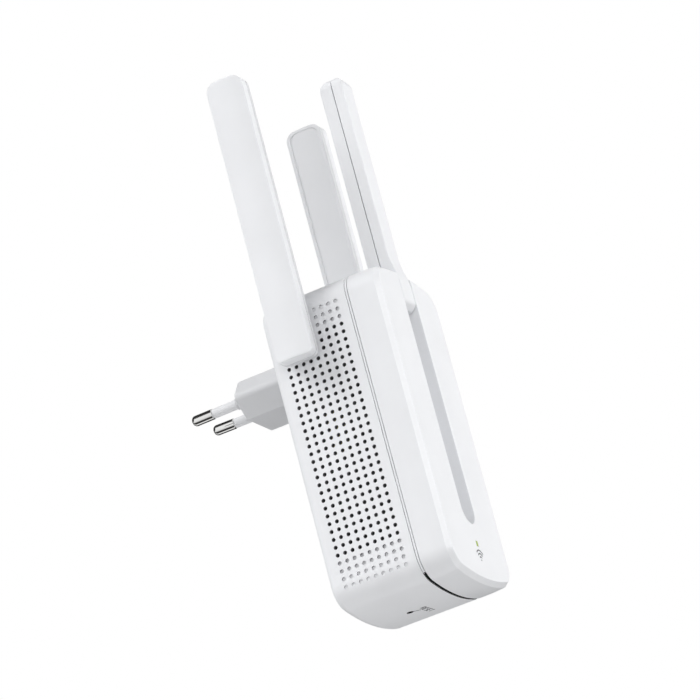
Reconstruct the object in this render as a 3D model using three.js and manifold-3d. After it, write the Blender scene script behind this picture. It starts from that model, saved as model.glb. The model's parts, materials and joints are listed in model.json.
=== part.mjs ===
// Plug-in wifi range extender with three folding antennas.
// Millimetres. +Z up, -Y towards the front face, +Y towards the wall socket, X across.
// Origin: centre of the plug's flat face, between the two pins.
import * as THREE from 'three';
import { mergeVertices } from 'three/addons/utils/BufferGeometryUtils.js';
import Module from 'manifold-3d';

const wasm = await Module();
wasm.setup();

// ---- driving dimensions -------------------------------------------------------------
const GAP = 0.3;                // clearance between neighbouring solids

// casing: a rounded outline in X-Z, drawn out along Y
const HALF_W = 28;
const TOP_Z = 27.3;
const BOTTOM_Z = -95;
const END_R = 110;              // gentle crown of the top and bottom edges
const CORNER_R = 9;
const REAR_Y = -21.7;
const SEAM_Y = -57;
const SEAM_GAP = 0.8;
const FRONT_Y = -70;
const WALL = 2;
const REAR_EDGE_R = 3.2;
const BEVEL = 1.9;              // bright bevel round the front face
const LIP_T = 1.2;
const LIP_REACH = 2.4;
const LIP_ROOT = 3;             // how far behind the rim the lip joins the wall
const HOLLOW_EDGE_R = 1.4;
const BOSS_R = 3;
const BOSS_BORE_R = 1.5;
const RESET_HOLE_R = 1.3;
const PAST = 1;                 // how far a cutter runs past what it cuts

// plug
const PLUG_HALF_W = 17.6;
const PLUG_HALF_H = 7.6;
const PLUG_CHAMFER = 7.4;
const PIN_ROOT_X = 9.3;
const PIN_TIP_X = 8.75;
const PIN_R = 2;
const PIN_CORE_R = 1.2;
const SLEEVE_R = 1.85;
const SLEEVE_ROOT = 1.5;        // how far the sleeve starts inside the plug
const COLLAR_L = 2.5;
const SLEEVE_L = 10;
const METAL_L = 9;
const FACE_EDGE_R = 0.8;        // rounding of the plug's face
const FLANGE_HALF_W = 21;
const FLANGE_HALF_H = 10.5;
const FLANGE_T = 2;

// front antenna, its hinge and the groove that stows it
const FRONT_PIVOT_Y = -64.45;
const FRONT_PIVOT_Z = 18.5;
const FRONT_HALF_W = 5;
const FRONT_BACK = 5.5;         // pivot to the face that looks backwards when upright
const FRONT_FORE = 3.7;         // pivot to the paddle's front face
const FRONT_FOOT_R = 6.4;       // swept radius of the foot
const FRONT_TOP_Z = 108.2;
const FRONT_SEAM_Y = -63.9;
const FRONT_TOP_R = 3.6;        // rounding of the paddle's tip, seen from the front
const FRONT_SHELL_WALL = 1.4;
const NECK_LOW = 3;             // where the neck starts to narrow, above the pivot
const NECK_HIGH = 16;
const GROOVE_HALF_W = 5.75;
const GROOVE_END_Z = -72;
const GROOVE_WALL = 1.3;
const GROOVE_LIP_Z = 24.9;      // the floor is shallower above this
const HINGE_PIN_R = 1.4;
const HINGE_BORE_R = 1.75;

// side antennas
const SIDE_PIVOT_Y = -34.95;
const SIDE_PIVOT_Z = 9.2;
const SIDE_HALF_W = 7.4;
const SIDE_TOP_Z = 110;
const SIDE_BOTTOM_Z = -2.4;
const SIDE_OUTER_X = 38.4;
const SIDE_INNER_X = 30.9;
const SIDE_SEAM_X = 33;
const SIDE_TOP_R = 4;
const SIDE_LOW_R = 2.5;
const SIDE_WALL = 1.5;
const SIDE_EDGE = 0.5;          // softened edge of the inner face
const SIDE_RECESS = 0.6;        // depth of the panel on the inner face
const HUB_R = 4.5;
const HUB_COLLAR_R = 6.2;
const HUB_FLANGE_R = 5.4;
const HUB_GROOVE_R = 3.9;
const HUB_BORE_R = 1.4;
const COAX_R = 0.9;
const RADIATOR_T = 0.7;

// boards
const MAIN_BOARD_Y = -44;       // its front face
const POWER_BOARD_Y = -31;      // its front face
const BOARD_T = 1.6;
const MAIN_BOARD_HALF_W = 24.5;
const POWER_BOARD_HALF_W = 16;
const BOSS_X = 19.5;
const BOSS_TOP_Z = 14;
const BOSS_LOW_Z = -80;

const HEADER_HALF_W = 12;
const HEADER_Z = 11.4;
const HEADER_H = 2.5;
const SCREW_R = 1.15;
const SCREW_HEAD_R = 2.4;
const SCREW_HEAD_T = 1.6;
const BULK_CAPACITOR_R = 4.8;
const OUTPUT_CAPACITOR_R = 3.6;
const CAPACITOR_LOW_Z = -56;
const BOBBIN_DEPTH = 10;
const SWITCH_TOP_Z = -84;
const SWITCH_LOW_Z = -88;

// outlines on the boards: x from, x to, z from, z to, height off the board
const MAINS_FUSE = [-14, -6, -8, -4, 4];
const BRIDGE_RECTIFIER = [4, 14, -10, -3, 3];
const SUPPRESSION_CAPACITOR = [-16, -10, -33, -18, 8];
const RADIO_SHIELD = [-11, 11, -48, -22, 2.6];
const PROCESSOR_CHIP = [-7, 7, -18, -4, 1.2];
const MEMORY_CHIP = [-20, -12, -16, -6, 1];

const LED_Z = -79.8;
const WINDOW_HALF_W = 0.8;
const WINDOW_HALF_H = 1;
const PIPE_FLANGE = 2.2;        // half-width of the light pipe's flange
const RESET_Y = -38.6;
const RESET_SHAFT_R = 1;
const RESET_HEAD_R = 2;
const RESET_HEAD_T = 1.4;
const RESET_DEPTH = 0.9;        // how far the button sits inside the casing

// ---- materials ------------------------------------------------------------------------
function plastic(color, roughness) {
  return new THREE.MeshStandardMaterial({ color, roughness, metalness: 0 });
}

function metal(color, roughness) {
  return new THREE.MeshStandardMaterial({ color, roughness, metalness: 1 });
}

const WHITE = 0xf0f1f4;
const SHADE_WHITE = 0xe6e7ea;
const SLEEVE_GREY = 0xd6d7d9;
const BOARD_GREEN = 0x1f5a3a;
const STEEL = 0xb8b8b6;
const COPPER = 0xb87a4b;
const NICKEL = 0xc9c9c7;
const TIN = 0xc0c0be;
const JACKET_GREY = 0x55565a;
const CHIP_BLACK = 0x1c1c1e;
const CAPACITOR_BLACK = 0x26262a;
const FERRITE_GREY = 0x3a3a3c;
const TAPE_YELLOW = 0xd9b54a;
const FILM_YELLOW = 0xd8c060;
const FUSE_BROWN = 0x8a5a3a;
const LED_CLEAR = 0xdfe8c0;
const WINDOW_GREEN = 0xbcd45a;
const BUTTON_GREY = 0x8c8d90;

// ---- solids -----------------------------------------------------------------------------
function toSolid(geometry) {
  const bare = geometry.clone();
  bare.deleteAttribute('normal');
  bare.deleteAttribute('uv');
  const merged = mergeVertices(bare, 1e-4);
  return new wasm.Manifold(new wasm.Mesh({
    numProp: 3,
    vertProperties: new Float32Array(merged.attributes.position.array),
    triVerts: new Uint32Array(merged.index.array),
  }));
}

function toGeometry(solid) {
  const mesh = solid.getMesh();
  const geometry = new THREE.BufferGeometry();
  geometry.setAttribute('position', new THREE.BufferAttribute(new Float32Array(mesh.vertProperties), 3));
  geometry.setIndex(new THREE.BufferAttribute(new Uint32Array(mesh.triVerts), 1));
  geometry.computeVertexNormals();
  return geometry;
}

function cut(geometry, ...tools) {
  let solid = toSolid(geometry);
  for (const tool of tools) {
    solid = solid.subtract(toSolid(tool));
  }
  return toGeometry(solid);
}

function join(geometry, ...others) {
  let solid = toSolid(geometry);
  for (const other of others) {
    solid = solid.add(toSolid(other));
  }
  return toGeometry(solid);
}

function common(geometry, other) {
  return toGeometry(toSolid(geometry).intersect(toSolid(other)));
}

function box(x0, x1, y0, y1, z0, z1) {
  const geometry = new THREE.BoxGeometry(x1 - x0, y1 - y0, z1 - z0);
  geometry.translate((x0 + x1) / 2, (y0 + y1) / 2, (z0 + z1) / 2);
  return geometry;
}

function rod(axis, radius, from, to, a, b, sides = 16) {
  const geometry = new THREE.CylinderGeometry(radius, radius, to - from, sides);
  const middle = (from + to) / 2;
  if (axis === 'x') {
    geometry.rotateZ(Math.PI / 2);
    geometry.translate(middle, a, b);
  } else if (axis === 'y') {
    geometry.translate(a, middle, b);
  } else {
    geometry.rotateX(Math.PI / 2);
    geometry.translate(a, b, middle);
  }
  return geometry;
}

// Closed skin over rings of equal length, each a convex loop of [x, y, z] points.
function loft(rings) {
  const count = rings[0].length;
  const position = rings.flat(2);
  const index = [];
  for (let ring = 0; ring < rings.length - 1; ring += 1) {
    for (let i = 0; i < count; i += 1) {
      const j = (i + 1) % count;
      const a = ring * count;
      const b = a + count;
      index.push(a + i, a + j, b + j);
      index.push(a + i, b + j, b + i);
    }
  }
  const last = (rings.length - 1) * count;
  for (let i = 1; i < count - 1; i += 1) {
    index.push(0, i + 1, i);
    index.push(last, last + i, last + i + 1);
  }
  if (signedVolume(position, index) < 0) {
    index.reverse();
  }
  const geometry = new THREE.BufferGeometry();
  geometry.setAttribute('position', new THREE.Float32BufferAttribute(position, 3));
  geometry.setIndex(index);
  geometry.computeVertexNormals();
  return geometry;
}

function signedVolume(position, index) {
  const at = (i) => new THREE.Vector3().fromArray(position, 3 * i);
  let sum = 0;
  for (let i = 0; i < index.length; i += 3) {
    sum += at(index[i]).dot(at(index[i + 1]).cross(at(index[i + 2])));
  }
  return sum;
}

// ---- outlines -----------------------------------------------------------------------------
// Casing outline in X-Z, moved inwards by inset: straight sides, round corners, crowned ends.
function casingOutline(inset, cornerSteps = 5, endSteps = 5) {
  const cornerR = CORNER_R - inset;
  const endR = END_R - inset;
  const cornerX = HALF_W - CORNER_R;
  const lean = Math.asin(cornerX / (END_R - CORNER_R));
  const cornerDrop = END_R - (END_R - CORNER_R) * Math.cos(lean);
  const quarter = [];
  for (let i = 0; i <= cornerSteps; i += 1) {
    const angle = (Math.PI / 2 - lean) * i / cornerSteps;
    const x = cornerX + cornerR * Math.cos(angle);
    quarter.push([x, TOP_Z - cornerDrop + cornerR * Math.sin(angle)]);
  }
  for (let i = 1; i <= endSteps; i += 1) {
    const angle = Math.PI / 2 - lean + lean * i / endSteps;
    quarter.push([endR * Math.cos(angle), TOP_Z - END_R + endR * Math.sin(angle)]);
  }
  const topLeft = quarter.slice(0, -1).reverse().map(([x, z]) => [-x, z]);
  const top = quarter.concat(topLeft);
  const middle = TOP_Z + BOTTOM_Z;
  return top.concat(top.map(([x, z]) => [-x, middle - z]));
}

function casingRing(y, inset) {
  return casingOutline(inset).map(([x, z]) => [x, y, z]);
}

// Rounded rectangle as a loop of [u, v] with one radius for the top and one for the bottom.
function roundedLoop(halfWidth, low, high, topR, lowR, inset = 0, steps = 4) {
  const corners = [
    [halfWidth - topR, high - topR, topR, 0],
    [-halfWidth + topR, high - topR, topR, 1],
    [-halfWidth + lowR, low + lowR, lowR, 2],
    [halfWidth - lowR, low + lowR, lowR, 3],
  ];
  const loop = [];
  for (const [u, v, radius, quarter] of corners) {
    const r = Math.max(radius - inset, 0.05);
    const shift = inset - (radius - r);
    const signU = quarter === 0 || quarter === 3 ? 1 : -1;
    const signV = quarter < 2 ? 1 : -1;
    for (let i = 0; i <= steps; i += 1) {
      const angle = (quarter + i / steps) * Math.PI / 2;
      loop.push([u - signU * shift + r * Math.cos(angle), v - signV * shift + r * Math.sin(angle)]);
    }
  }
  return loop;
}

function hexagonRing(y, inset) {
  const w = PLUG_HALF_W - inset;
  const h = PLUG_HALF_H - inset;
  const flat = PLUG_HALF_W - PLUG_CHAMFER - inset * 0.4;
  return [[w, 0], [flat, h], [-flat, h], [-w, 0], [-flat, -h], [flat, -h]].map(([x, z]) => [x, y, z]);
}

// ---- casing ---------------------------------------------------------------------------------
const CASING_RIM_Y = SEAM_Y + SEAM_GAP / 2;
const COVER_RIM_Y = SEAM_Y - SEAM_GAP / 2;
const GROOVE_FLOOR_Y = FRONT_PIVOT_Y + FRONT_FOOT_R + GAP;
const GROOVE_LIP_Y = FRONT_PIVOT_Y + FRONT_BACK + 2 * GAP;

function rearCasing() {
  const rings = [];
  const steps = 3;
  for (let i = 0; i <= steps; i += 1) {
    const angle = Math.PI / 2 * i / steps;
    const inset = REAR_EDGE_R * (1 - Math.sin(angle));
    rings.push(casingRing(REAR_Y - REAR_EDGE_R * (1 - Math.cos(angle)), inset));
  }
  rings.push(casingRing(CASING_RIM_Y, 0));
  const shell = cut(loft(rings), loft([
    casingRing(REAR_Y - WALL, REAR_EDGE_R),
    casingRing(REAR_Y - WALL - HOLLOW_EDGE_R, WALL),
    casingRing(CASING_RIM_Y - 1, WALL),
  ]));
  const lip = cut(
    loft([casingRing(CASING_RIM_Y + LIP_ROOT, WALL - 0.2), casingRing(CASING_RIM_Y + 0.4, WALL + GAP),
      casingRing(CASING_RIM_Y - LIP_REACH, WALL + GAP)]),
    loft([casingRing(CASING_RIM_Y + LIP_ROOT + PAST, WALL + GAP + LIP_T),
      casingRing(CASING_RIM_Y - LIP_REACH - PAST, WALL + GAP + LIP_T)]),
    box(-GROOVE_HALF_W - 2.2, GROOVE_HALF_W + 2.2, CASING_RIM_Y - 5, CASING_RIM_Y + 5, 0, TOP_Z + 5),
  );
  let casing = join(shell, lip);
  for (const [x, z] of bossPlaces()) {
    casing = join(casing, rod('y', BOSS_R, MAIN_BOARD_Y + BOARD_T + GAP, REAR_Y - WALL + 0.5, x, z, 12));
    casing = cut(casing, rod('y', BOSS_BORE_R, MAIN_BOARD_Y - 2, REAR_Y - WALL - 4, x, z, 10));
  }
  const plugHole = loft([hexagonRing(REAR_Y + 2, -GAP), hexagonRing(REAR_Y - WALL - 2, -GAP)]);
  const resetHole = rod('z', RESET_HOLE_R, BOTTOM_Z - 2, BOTTOM_Z + 4, 0, RESET_Y, 12);
  const hubBore = rod('x', HUB_R + GAP, HALF_W - 5, HALF_W + 2, SIDE_PIVOT_Y, SIDE_PIVOT_Z, 20);
  return cut(casing, plugHole, resetHole, hubBore, mirrored(hubBore));
}

function bossPlaces() {
  return [[-BOSS_X, BOSS_TOP_Z], [BOSS_X, BOSS_TOP_Z], [-BOSS_X, BOSS_LOW_Z], [BOSS_X, BOSS_LOW_Z]];
}

function grooveLoop(extra) {
  const half = GROOVE_HALF_W + extra;
  const endZ = GROOVE_END_Z + GROOVE_HALF_W;
  const loop = [[half, TOP_Z + 6], [-half, TOP_Z + 6]];
  const steps = 10;
  for (let i = 0; i <= steps; i += 1) {
    const angle = Math.PI + Math.PI * i / steps;
    loop.push([half * Math.cos(angle), endZ + half * Math.sin(angle)]);
  }
  return loop;
}

function groovePrism(extra, y0, y1) {
  return loft([y0, y1].map((y) => grooveLoop(extra).map(([x, z]) => [x, y, z])));
}

function frontCover() {
  const outer = loft([
    casingRing(COVER_RIM_Y, 0),
    casingRing(FRONT_Y + BEVEL, 0),
    casingRing(FRONT_Y, BEVEL),
  ]);
  const inner = loft([
    casingRing(COVER_RIM_Y + 2, WALL),
    casingRing(FRONT_Y + WALL + 1, WALL),
    casingRing(FRONT_Y + WALL, WALL + 1),
  ]);
  const channel = common(
    groovePrism(GROOVE_WALL, GROOVE_FLOOR_Y + GROOVE_WALL, FRONT_Y + 1),
    loft([casingRing(GROOVE_FLOOR_Y + 3, WALL - 0.2), casingRing(FRONT_Y, WALL - 0.2)]),
  );
  const trimmed = cut(channel, box(-20, 20, COVER_RIM_Y, COVER_RIM_Y + 9, TOP_Z - 8, TOP_Z + 9));
  return cut(
    join(cut(outer, inner), trimmed),
    groovePrism(0, GROOVE_LIP_Y, FRONT_Y - 3),
    cut(groovePrism(0, GROOVE_FLOOR_Y, FRONT_Y - 3), box(-20, 20, -80, -40, GROOVE_LIP_Z, 60)),
    rod('x', HINGE_BORE_R, -12, 12, FRONT_PIVOT_Y, FRONT_PIVOT_Z, 12),
    lightPipeCutter(),
  );
}

function lightPipeCutter() {
  const halfW = WINDOW_HALF_W + GAP;
  const halfH = WINDOW_HALF_H + GAP;
  return box(-halfW, halfW, FRONT_Y - PAST, FRONT_Y + WALL + PAST, LED_Z - halfH, LED_Z + halfH);
}

// ---- plug -------------------------------------------------------------------------------------
const PLUG_BACK_Y = REAR_Y - WALL - GAP - FLANGE_T;

function plugHousing() {
  const body = loft([hexagonRing(PLUG_BACK_Y, 0), hexagonRing(-FACE_EDGE_R, 0), hexagonRing(0, FACE_EDGE_R)]);
  const flangeTop = PLUG_BACK_Y + FLANGE_T;
  const flange = box(-FLANGE_HALF_W, FLANGE_HALF_W, PLUG_BACK_Y, flangeTop, -FLANGE_HALF_H, FLANGE_HALF_H);
  let housing = join(body, flange);
  for (const side of [-1, 1]) {
    housing = join(housing, rod('y', PIN_R + GAP, -2, COLLAR_L, side * PIN_ROOT_X, 0));
    housing = cut(
      housing,
      rod('y', SLEEVE_R + GAP, -SLEEVE_ROOT - GAP, COLLAR_L + 1, side * PIN_ROOT_X, 0),
      rod('y', PIN_CORE_R + GAP, PLUG_BACK_Y - 1, 1, side * PIN_ROOT_X, 0, 12),
    );
  }
  return housing;
}

// A round piece along a pin's leaning axis, between two distances in front of the plug's face.
function pinPiece(side, profile) {
  const lean = Math.atan2(PIN_ROOT_X - PIN_TIP_X, COLLAR_L + SLEEVE_L + METAL_L);
  const geometry = new THREE.LatheGeometry(profile.map(([r, y]) => new THREE.Vector2(r, y)), 16);
  geometry.rotateZ(side * lean);
  geometry.translate(side * PIN_ROOT_X, 0, 0);
  return geometry;
}

function pinMetal(side) {
  const start = COLLAR_L + SLEEVE_L + GAP;
  const end = COLLAR_L + SLEEVE_L + METAL_L;
  const blade = pinPiece(side, [
    [0, 0], [PIN_CORE_R, 0], [PIN_CORE_R, start], [PIN_R, start],
    [PIN_R, end - 1.4], [1.5, end - 0.45], [0.7, end - 0.05], [0, end],
  ]);
  return join(blade, rod('y', PIN_CORE_R, POWER_BOARD_Y + BOARD_T + GAP, 0.5, side * PIN_ROOT_X, 0, 16));
}

function pinSleeve(side) {
  const bore = PIN_CORE_R + GAP;
  const end = COLLAR_L + SLEEVE_L;
  return pinPiece(side, [
    [bore, -SLEEVE_ROOT], [SLEEVE_R, -SLEEVE_ROOT], [SLEEVE_R, end], [bore, end], [bore, -SLEEVE_ROOT],
  ]);
}

// ---- side antennas, built on the +X side and mirrored for the other ---------------------------
function sidePaddleRing(x, inset) {
  const loop = roundedLoop(SIDE_HALF_W, SIDE_BOTTOM_Z, SIDE_TOP_Z, SIDE_TOP_R, SIDE_LOW_R, inset);
  return loop.map(([u, v]) => [x, SIDE_PIVOT_Y + u, v]);
}

function sidePaddleHollow(from, to) {
  return loft([sidePaddleRing(from, SIDE_WALL), sidePaddleRing(to, SIDE_WALL)]);
}

function sideOuterShell() {
  return cut(
    loft([sidePaddleRing(SIDE_SEAM_X + GAP, 0), sidePaddleRing(SIDE_OUTER_X - 1, 0),
      sidePaddleRing(SIDE_OUTER_X - 0.3, 0.9), sidePaddleRing(SIDE_OUTER_X, 2.4)]),
    sidePaddleHollow(SIDE_SEAM_X - PAST, SIDE_OUTER_X - SIDE_WALL),
  );
}

function sideInnerShell() {
  return cut(
    loft([sidePaddleRing(SIDE_SEAM_X, 0), sidePaddleRing(SIDE_INNER_X + SIDE_EDGE, 0),
      sidePaddleRing(SIDE_INNER_X, SIDE_EDGE)]),
    sidePaddleHollow(SIDE_INNER_X - PAST, SIDE_INNER_X + SIDE_RECESS),
    rod('x', HUB_R + GAP, SIDE_INNER_X - 2, SIDE_SEAM_X + 2, SIDE_PIVOT_Y, SIDE_PIVOT_Z, 20),
  );
}

function sideHub() {
  const tail = HALF_W - 4.6;
  const grooveIn = HALF_W - 3.6;
  const grooveOut = HALF_W - 2.3;
  const head = SIDE_SEAM_X + 1.5;
  const profile = [
    [HUB_BORE_R, tail], [HUB_R, tail], [HUB_R, grooveIn], [HUB_GROOVE_R, grooveIn], [HUB_GROOVE_R, grooveOut],
    [HUB_R, grooveOut], [HUB_R, HALF_W + GAP], [HUB_COLLAR_R, HALF_W + GAP],
    [HUB_COLLAR_R, SIDE_INNER_X - GAP], [HUB_R, SIDE_INNER_X - GAP], [HUB_R, SIDE_SEAM_X + GAP],
    [HUB_FLANGE_R, SIDE_SEAM_X + GAP], [HUB_FLANGE_R, head], [HUB_BORE_R, head], [HUB_BORE_R, tail],
  ];
  return turnedOnSidePivot(profile, 20);
}

function sideClip() {
  const near = HALF_W - 3.4;
  const far = HALF_W - 2.5;
  const inside = HUB_GROOVE_R + GAP;
  return turnedOnSidePivot([
    [inside, near], [HUB_COLLAR_R, near], [HUB_COLLAR_R, far], [inside, far], [inside, near],
  ], 16);
}

function turnedOnSidePivot(profile, sides) {
  const geometry = new THREE.LatheGeometry(profile.map(([r, x]) => new THREE.Vector2(r, x)), sides);
  geometry.rotateZ(-Math.PI / 2);
  geometry.translate(0, SIDE_PIVOT_Y, SIDE_PIVOT_Z);
  return geometry;
}

function sideRadiator() {
  const near = SIDE_SEAM_X + 4 * GAP;
  const far = near + RADIATOR_T;
  return join(
    box(near, far, SIDE_PIVOT_Y - 1, SIDE_PIVOT_Y + 1, 17, 60),
    box(near, far, SIDE_PIVOT_Y - 4, SIDE_PIVOT_Y + 4, 56, 103),
  );
}

function sideCoax() {
  const bends = [
    new THREE.Vector3(HALF_W - 5, SIDE_PIVOT_Y, SIDE_PIVOT_Z),
    new THREE.Vector3(HALF_W - 7.5, SIDE_PIVOT_Y - 1, SIDE_PIVOT_Z - 0.5),
    new THREE.Vector3(HALF_W - 9, SIDE_PIVOT_Y - 3.4, SIDE_PIVOT_Z - 3),
    new THREE.Vector3(HALF_W - 9, MAIN_BOARD_Y + BOARD_T + COAX_R + GAP, SIDE_PIVOT_Z - 8),
    new THREE.Vector3(HALF_W - 9, MAIN_BOARD_Y + BOARD_T + COAX_R + GAP, SIDE_PIVOT_Z - 18),
  ];
  return tube(bends, COAX_R, 12);
}

function tube(points, radius, steps) {
  const section = new THREE.Shape();
  section.absarc(0, 0, radius, 0, 2 * Math.PI, false);
  const path = new THREE.CatmullRomCurve3(points);
  const options = { steps, extrudePath: path, bevelEnabled: false, curveSegments: 8 };
  return new THREE.ExtrudeGeometry(section, options);
}

function mirrored(geometry) {
  const copy = mergeVertices(geometry.clone().deleteAttribute('normal').deleteAttribute('uv'), 1e-4);
  copy.scale(-1, 1, 1);
  copy.setIndex(Array.from(copy.index.array).reverse());
  copy.computeVertexNormals();
  return copy;
}

// ---- front antenna -------------------------------------------------------------------------------
// Side view (Y-Z) about the pivot: a foot inside the swept radius, a curved neck and a straight paddle.
function frontProfile() {
  const meet = Math.acos(FRONT_BACK / FRONT_FOOT_R);
  const low = FRONT_BACK + 0.1;
  const lowMeet = Math.acos(low / FRONT_FOOT_R);
  const loop = [];
  const steps = 3;
  for (let i = 0; i <= steps; i += 1) {
    const angle = -meet - (Math.PI / 2 - meet - lowMeet) * i / steps;
    loop.push([FRONT_FOOT_R * Math.cos(angle), FRONT_FOOT_R * Math.sin(angle)]);
  }
  const mirroredFoot = loop.slice().reverse().map(([u, v]) => [-u, v]);
  loop.push(...mirroredFoot);
  const neckSteps = 6;
  for (let i = 0; i <= neckSteps; i += 1) {
    const t = i / neckSteps;
    const ease = (1 - Math.cos(Math.PI * t)) / 2;
    loop.push([-FRONT_BACK + (FRONT_BACK - FRONT_FORE) * ease, NECK_LOW + (NECK_HIGH - NECK_LOW) * t]);
  }
  const top = FRONT_TOP_Z - FRONT_PIVOT_Z;
  loop.push([-FRONT_FORE, top - 2.2], [-FRONT_FORE + 1.6, top - 0.5], [-0.5, top]);
  loop.push([1.5, top], [FRONT_BACK - 1.2, top - 1.2], [FRONT_BACK, top - 3]);
  return loop.reverse();
}

function frontBlank() {
  const shape = new THREE.Shape(frontProfile().map(([u, v]) => new THREE.Vector2(u, v)));
  const geometry = new THREE.ExtrudeGeometry(shape, { depth: 2 * FRONT_HALF_W, bevelEnabled: false });
  geometry.applyMatrix4(new THREE.Matrix4().makeBasis(
    new THREE.Vector3(0, 1, 0), new THREE.Vector3(0, 0, 1), new THREE.Vector3(1, 0, 0),
  ));
  geometry.translate(-FRONT_HALF_W, FRONT_PIVOT_Y, FRONT_PIVOT_Z);
  const face = roundedLoop(FRONT_HALF_W, 0, FRONT_TOP_Z, FRONT_TOP_R, 0.5);
  const limits = loft([-75, -50].map((y) => face.map(([u, v]) => [u, y, v])));
  const bore = rod('x', HINGE_BORE_R, -10, 10, FRONT_PIVOT_Y, FRONT_PIVOT_Z, 12);
  return cut(common(geometry, limits), bore);
}

function frontOuterShell() {
  const half = common(frontBlank(), box(-10, 10, FRONT_SEAM_Y + GAP / 2, -50, 0, 120));
  return cut(half, box(-3.6, 3.6, FRONT_SEAM_Y - 1, FRONT_PIVOT_Y + FRONT_BACK - FRONT_SHELL_WALL, 30, 104));
}

function frontInnerShell() {
  const half = common(frontBlank(), box(-10, 10, -80, FRONT_SEAM_Y - GAP / 2, 0, 120));
  return cut(half, box(-3.6, 3.6, FRONT_PIVOT_Y - FRONT_FORE + FRONT_SHELL_WALL, FRONT_SEAM_Y + 1, 36, 104));
}

function frontRadiator() {
  return box(-3, 3, FRONT_SEAM_Y + 0.2, FRONT_SEAM_Y + 0.2 + RADIATOR_T, 34, 102);
}

function frontCoax() {
  return tube([
    new THREE.Vector3(GROOVE_HALF_W + GROOVE_WALL + 3, FRONT_PIVOT_Y + 2, FRONT_PIVOT_Z - 2),
    new THREE.Vector3(12.5, -58, 12),
    new THREE.Vector3(13.5, -50, 4),
    new THREE.Vector3(13.5, MAIN_BOARD_Y - COAX_R - GAP, -2),
  ], COAX_R, 10);
}

// ---- boards and what is on them -------------------------------------------------------------------
function mainBoard() {
  let board = box(-MAIN_BOARD_HALF_W, MAIN_BOARD_HALF_W, MAIN_BOARD_Y, MAIN_BOARD_Y + BOARD_T, -86, 19);
  for (const [x, z] of bossPlaces()) {
    board = cut(board, rod('y', 1.6, MAIN_BOARD_Y - 2, MAIN_BOARD_Y + 4, x, z, 10));
  }
  return board;
}

function boardScrew([x, z]) {
  const seat = MAIN_BOARD_Y - GAP;
  return join(
    rod('y', SCREW_R, seat - 0.2, MAIN_BOARD_Y + 7, x, z, 10),
    rod('y', SCREW_HEAD_R, seat - SCREW_HEAD_T, seat, x, z, 12),
  );
}

function powerBoard() {
  return box(-POWER_BOARD_HALF_W, POWER_BOARD_HALF_W, POWER_BOARD_Y, POWER_BOARD_Y + BOARD_T, -62, 16);
}

// A block on the front of the power board, reaching forwards by depth.
function onPowerBoard(x0, x1, z0, z1, depth) {
  const seat = POWER_BOARD_Y - GAP;
  return box(x0, x1, seat - depth, seat, z0, z1);
}

function onMainBoard(x0, x1, z0, z1, depth) {
  const seat = MAIN_BOARD_Y - GAP;
  return box(x0, x1, seat - depth, seat, z0, z1);
}

function transformerCore() {
  const seat = POWER_BOARD_Y - GAP;
  const core = box(-9, 9, seat - BOBBIN_DEPTH - 0.2, seat - 0.2, -30, -14);
  return cut(core, box(-5.5, 5.5, seat - 12, seat + 1, -27.2, -16.8));
}

function transformerBobbin() {
  const seat = POWER_BOARD_Y - GAP;
  return box(-5.2, 5.2, seat - BOBBIN_DEPTH, seat, -26.9, -17.1);
}

function bulkCapacitor() {
  const axisY = POWER_BOARD_Y - GAP - BULK_CAPACITOR_R - 0.2;
  return rod('z', BULK_CAPACITOR_R, CAPACITOR_LOW_Z, -38, -8, axisY, 20);
}

function outputCapacitor() {
  const axisY = POWER_BOARD_Y - GAP - OUTPUT_CAPACITOR_R - 0.4;
  return rod('z', OUTPUT_CAPACITOR_R, CAPACITOR_LOW_Z, -42, 9, axisY, 16);
}

function boardHeader() {
  const from = POWER_BOARD_Y - GAP;
  const to = MAIN_BOARD_Y + BOARD_T + GAP;
  return box(-HEADER_HALF_W, HEADER_HALF_W, to, from, HEADER_Z, HEADER_Z + HEADER_H);
}

function lightPipe() {
  const back = MAIN_BOARD_Y - GAP - 1.3;
  const flangeHalfH = PIPE_FLANGE + 0.6;
  const flangeY = FRONT_Y + WALL + 0.4;
  return join(
    box(-WINDOW_HALF_W, WINDOW_HALF_W, FRONT_Y, back, LED_Z - WINDOW_HALF_H, LED_Z + WINDOW_HALF_H),
    box(-PIPE_FLANGE, PIPE_FLANGE, flangeY, flangeY + 1.2, LED_Z - flangeHalfH, LED_Z + flangeHalfH),
  );
}

function tactSwitch() {
  const rear = MAIN_BOARD_Y + BOARD_T + GAP;
  return box(-3, 3, rear, rear + 6.4, SWITCH_LOW_Z, SWITCH_TOP_Z);
}

function resetButton() {
  const top = SWITCH_LOW_Z - 0.8;
  return join(
    rod('z', RESET_SHAFT_R, BOTTOM_Z + RESET_DEPTH, top, 0, RESET_Y, 12),
    rod('z', RESET_HEAD_R, top - RESET_HEAD_T, top, 0, RESET_Y, 12),
  );
}

// ---- the assembly -------------------------------------------------------------------------------------
const extender = new THREE.Group();

function add(name, geometry, material) {
  const mesh = new THREE.Mesh(geometry, material);
  mesh.name = name;
  extender.add(mesh);
}

add('rear_casing', rearCasing(), plastic(WHITE, 0.42));
add('front_cover', frontCover(), plastic(WHITE, 0.36));
add('plug_housing', plugHousing(), plastic(SHADE_WHITE, 0.45));

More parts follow.
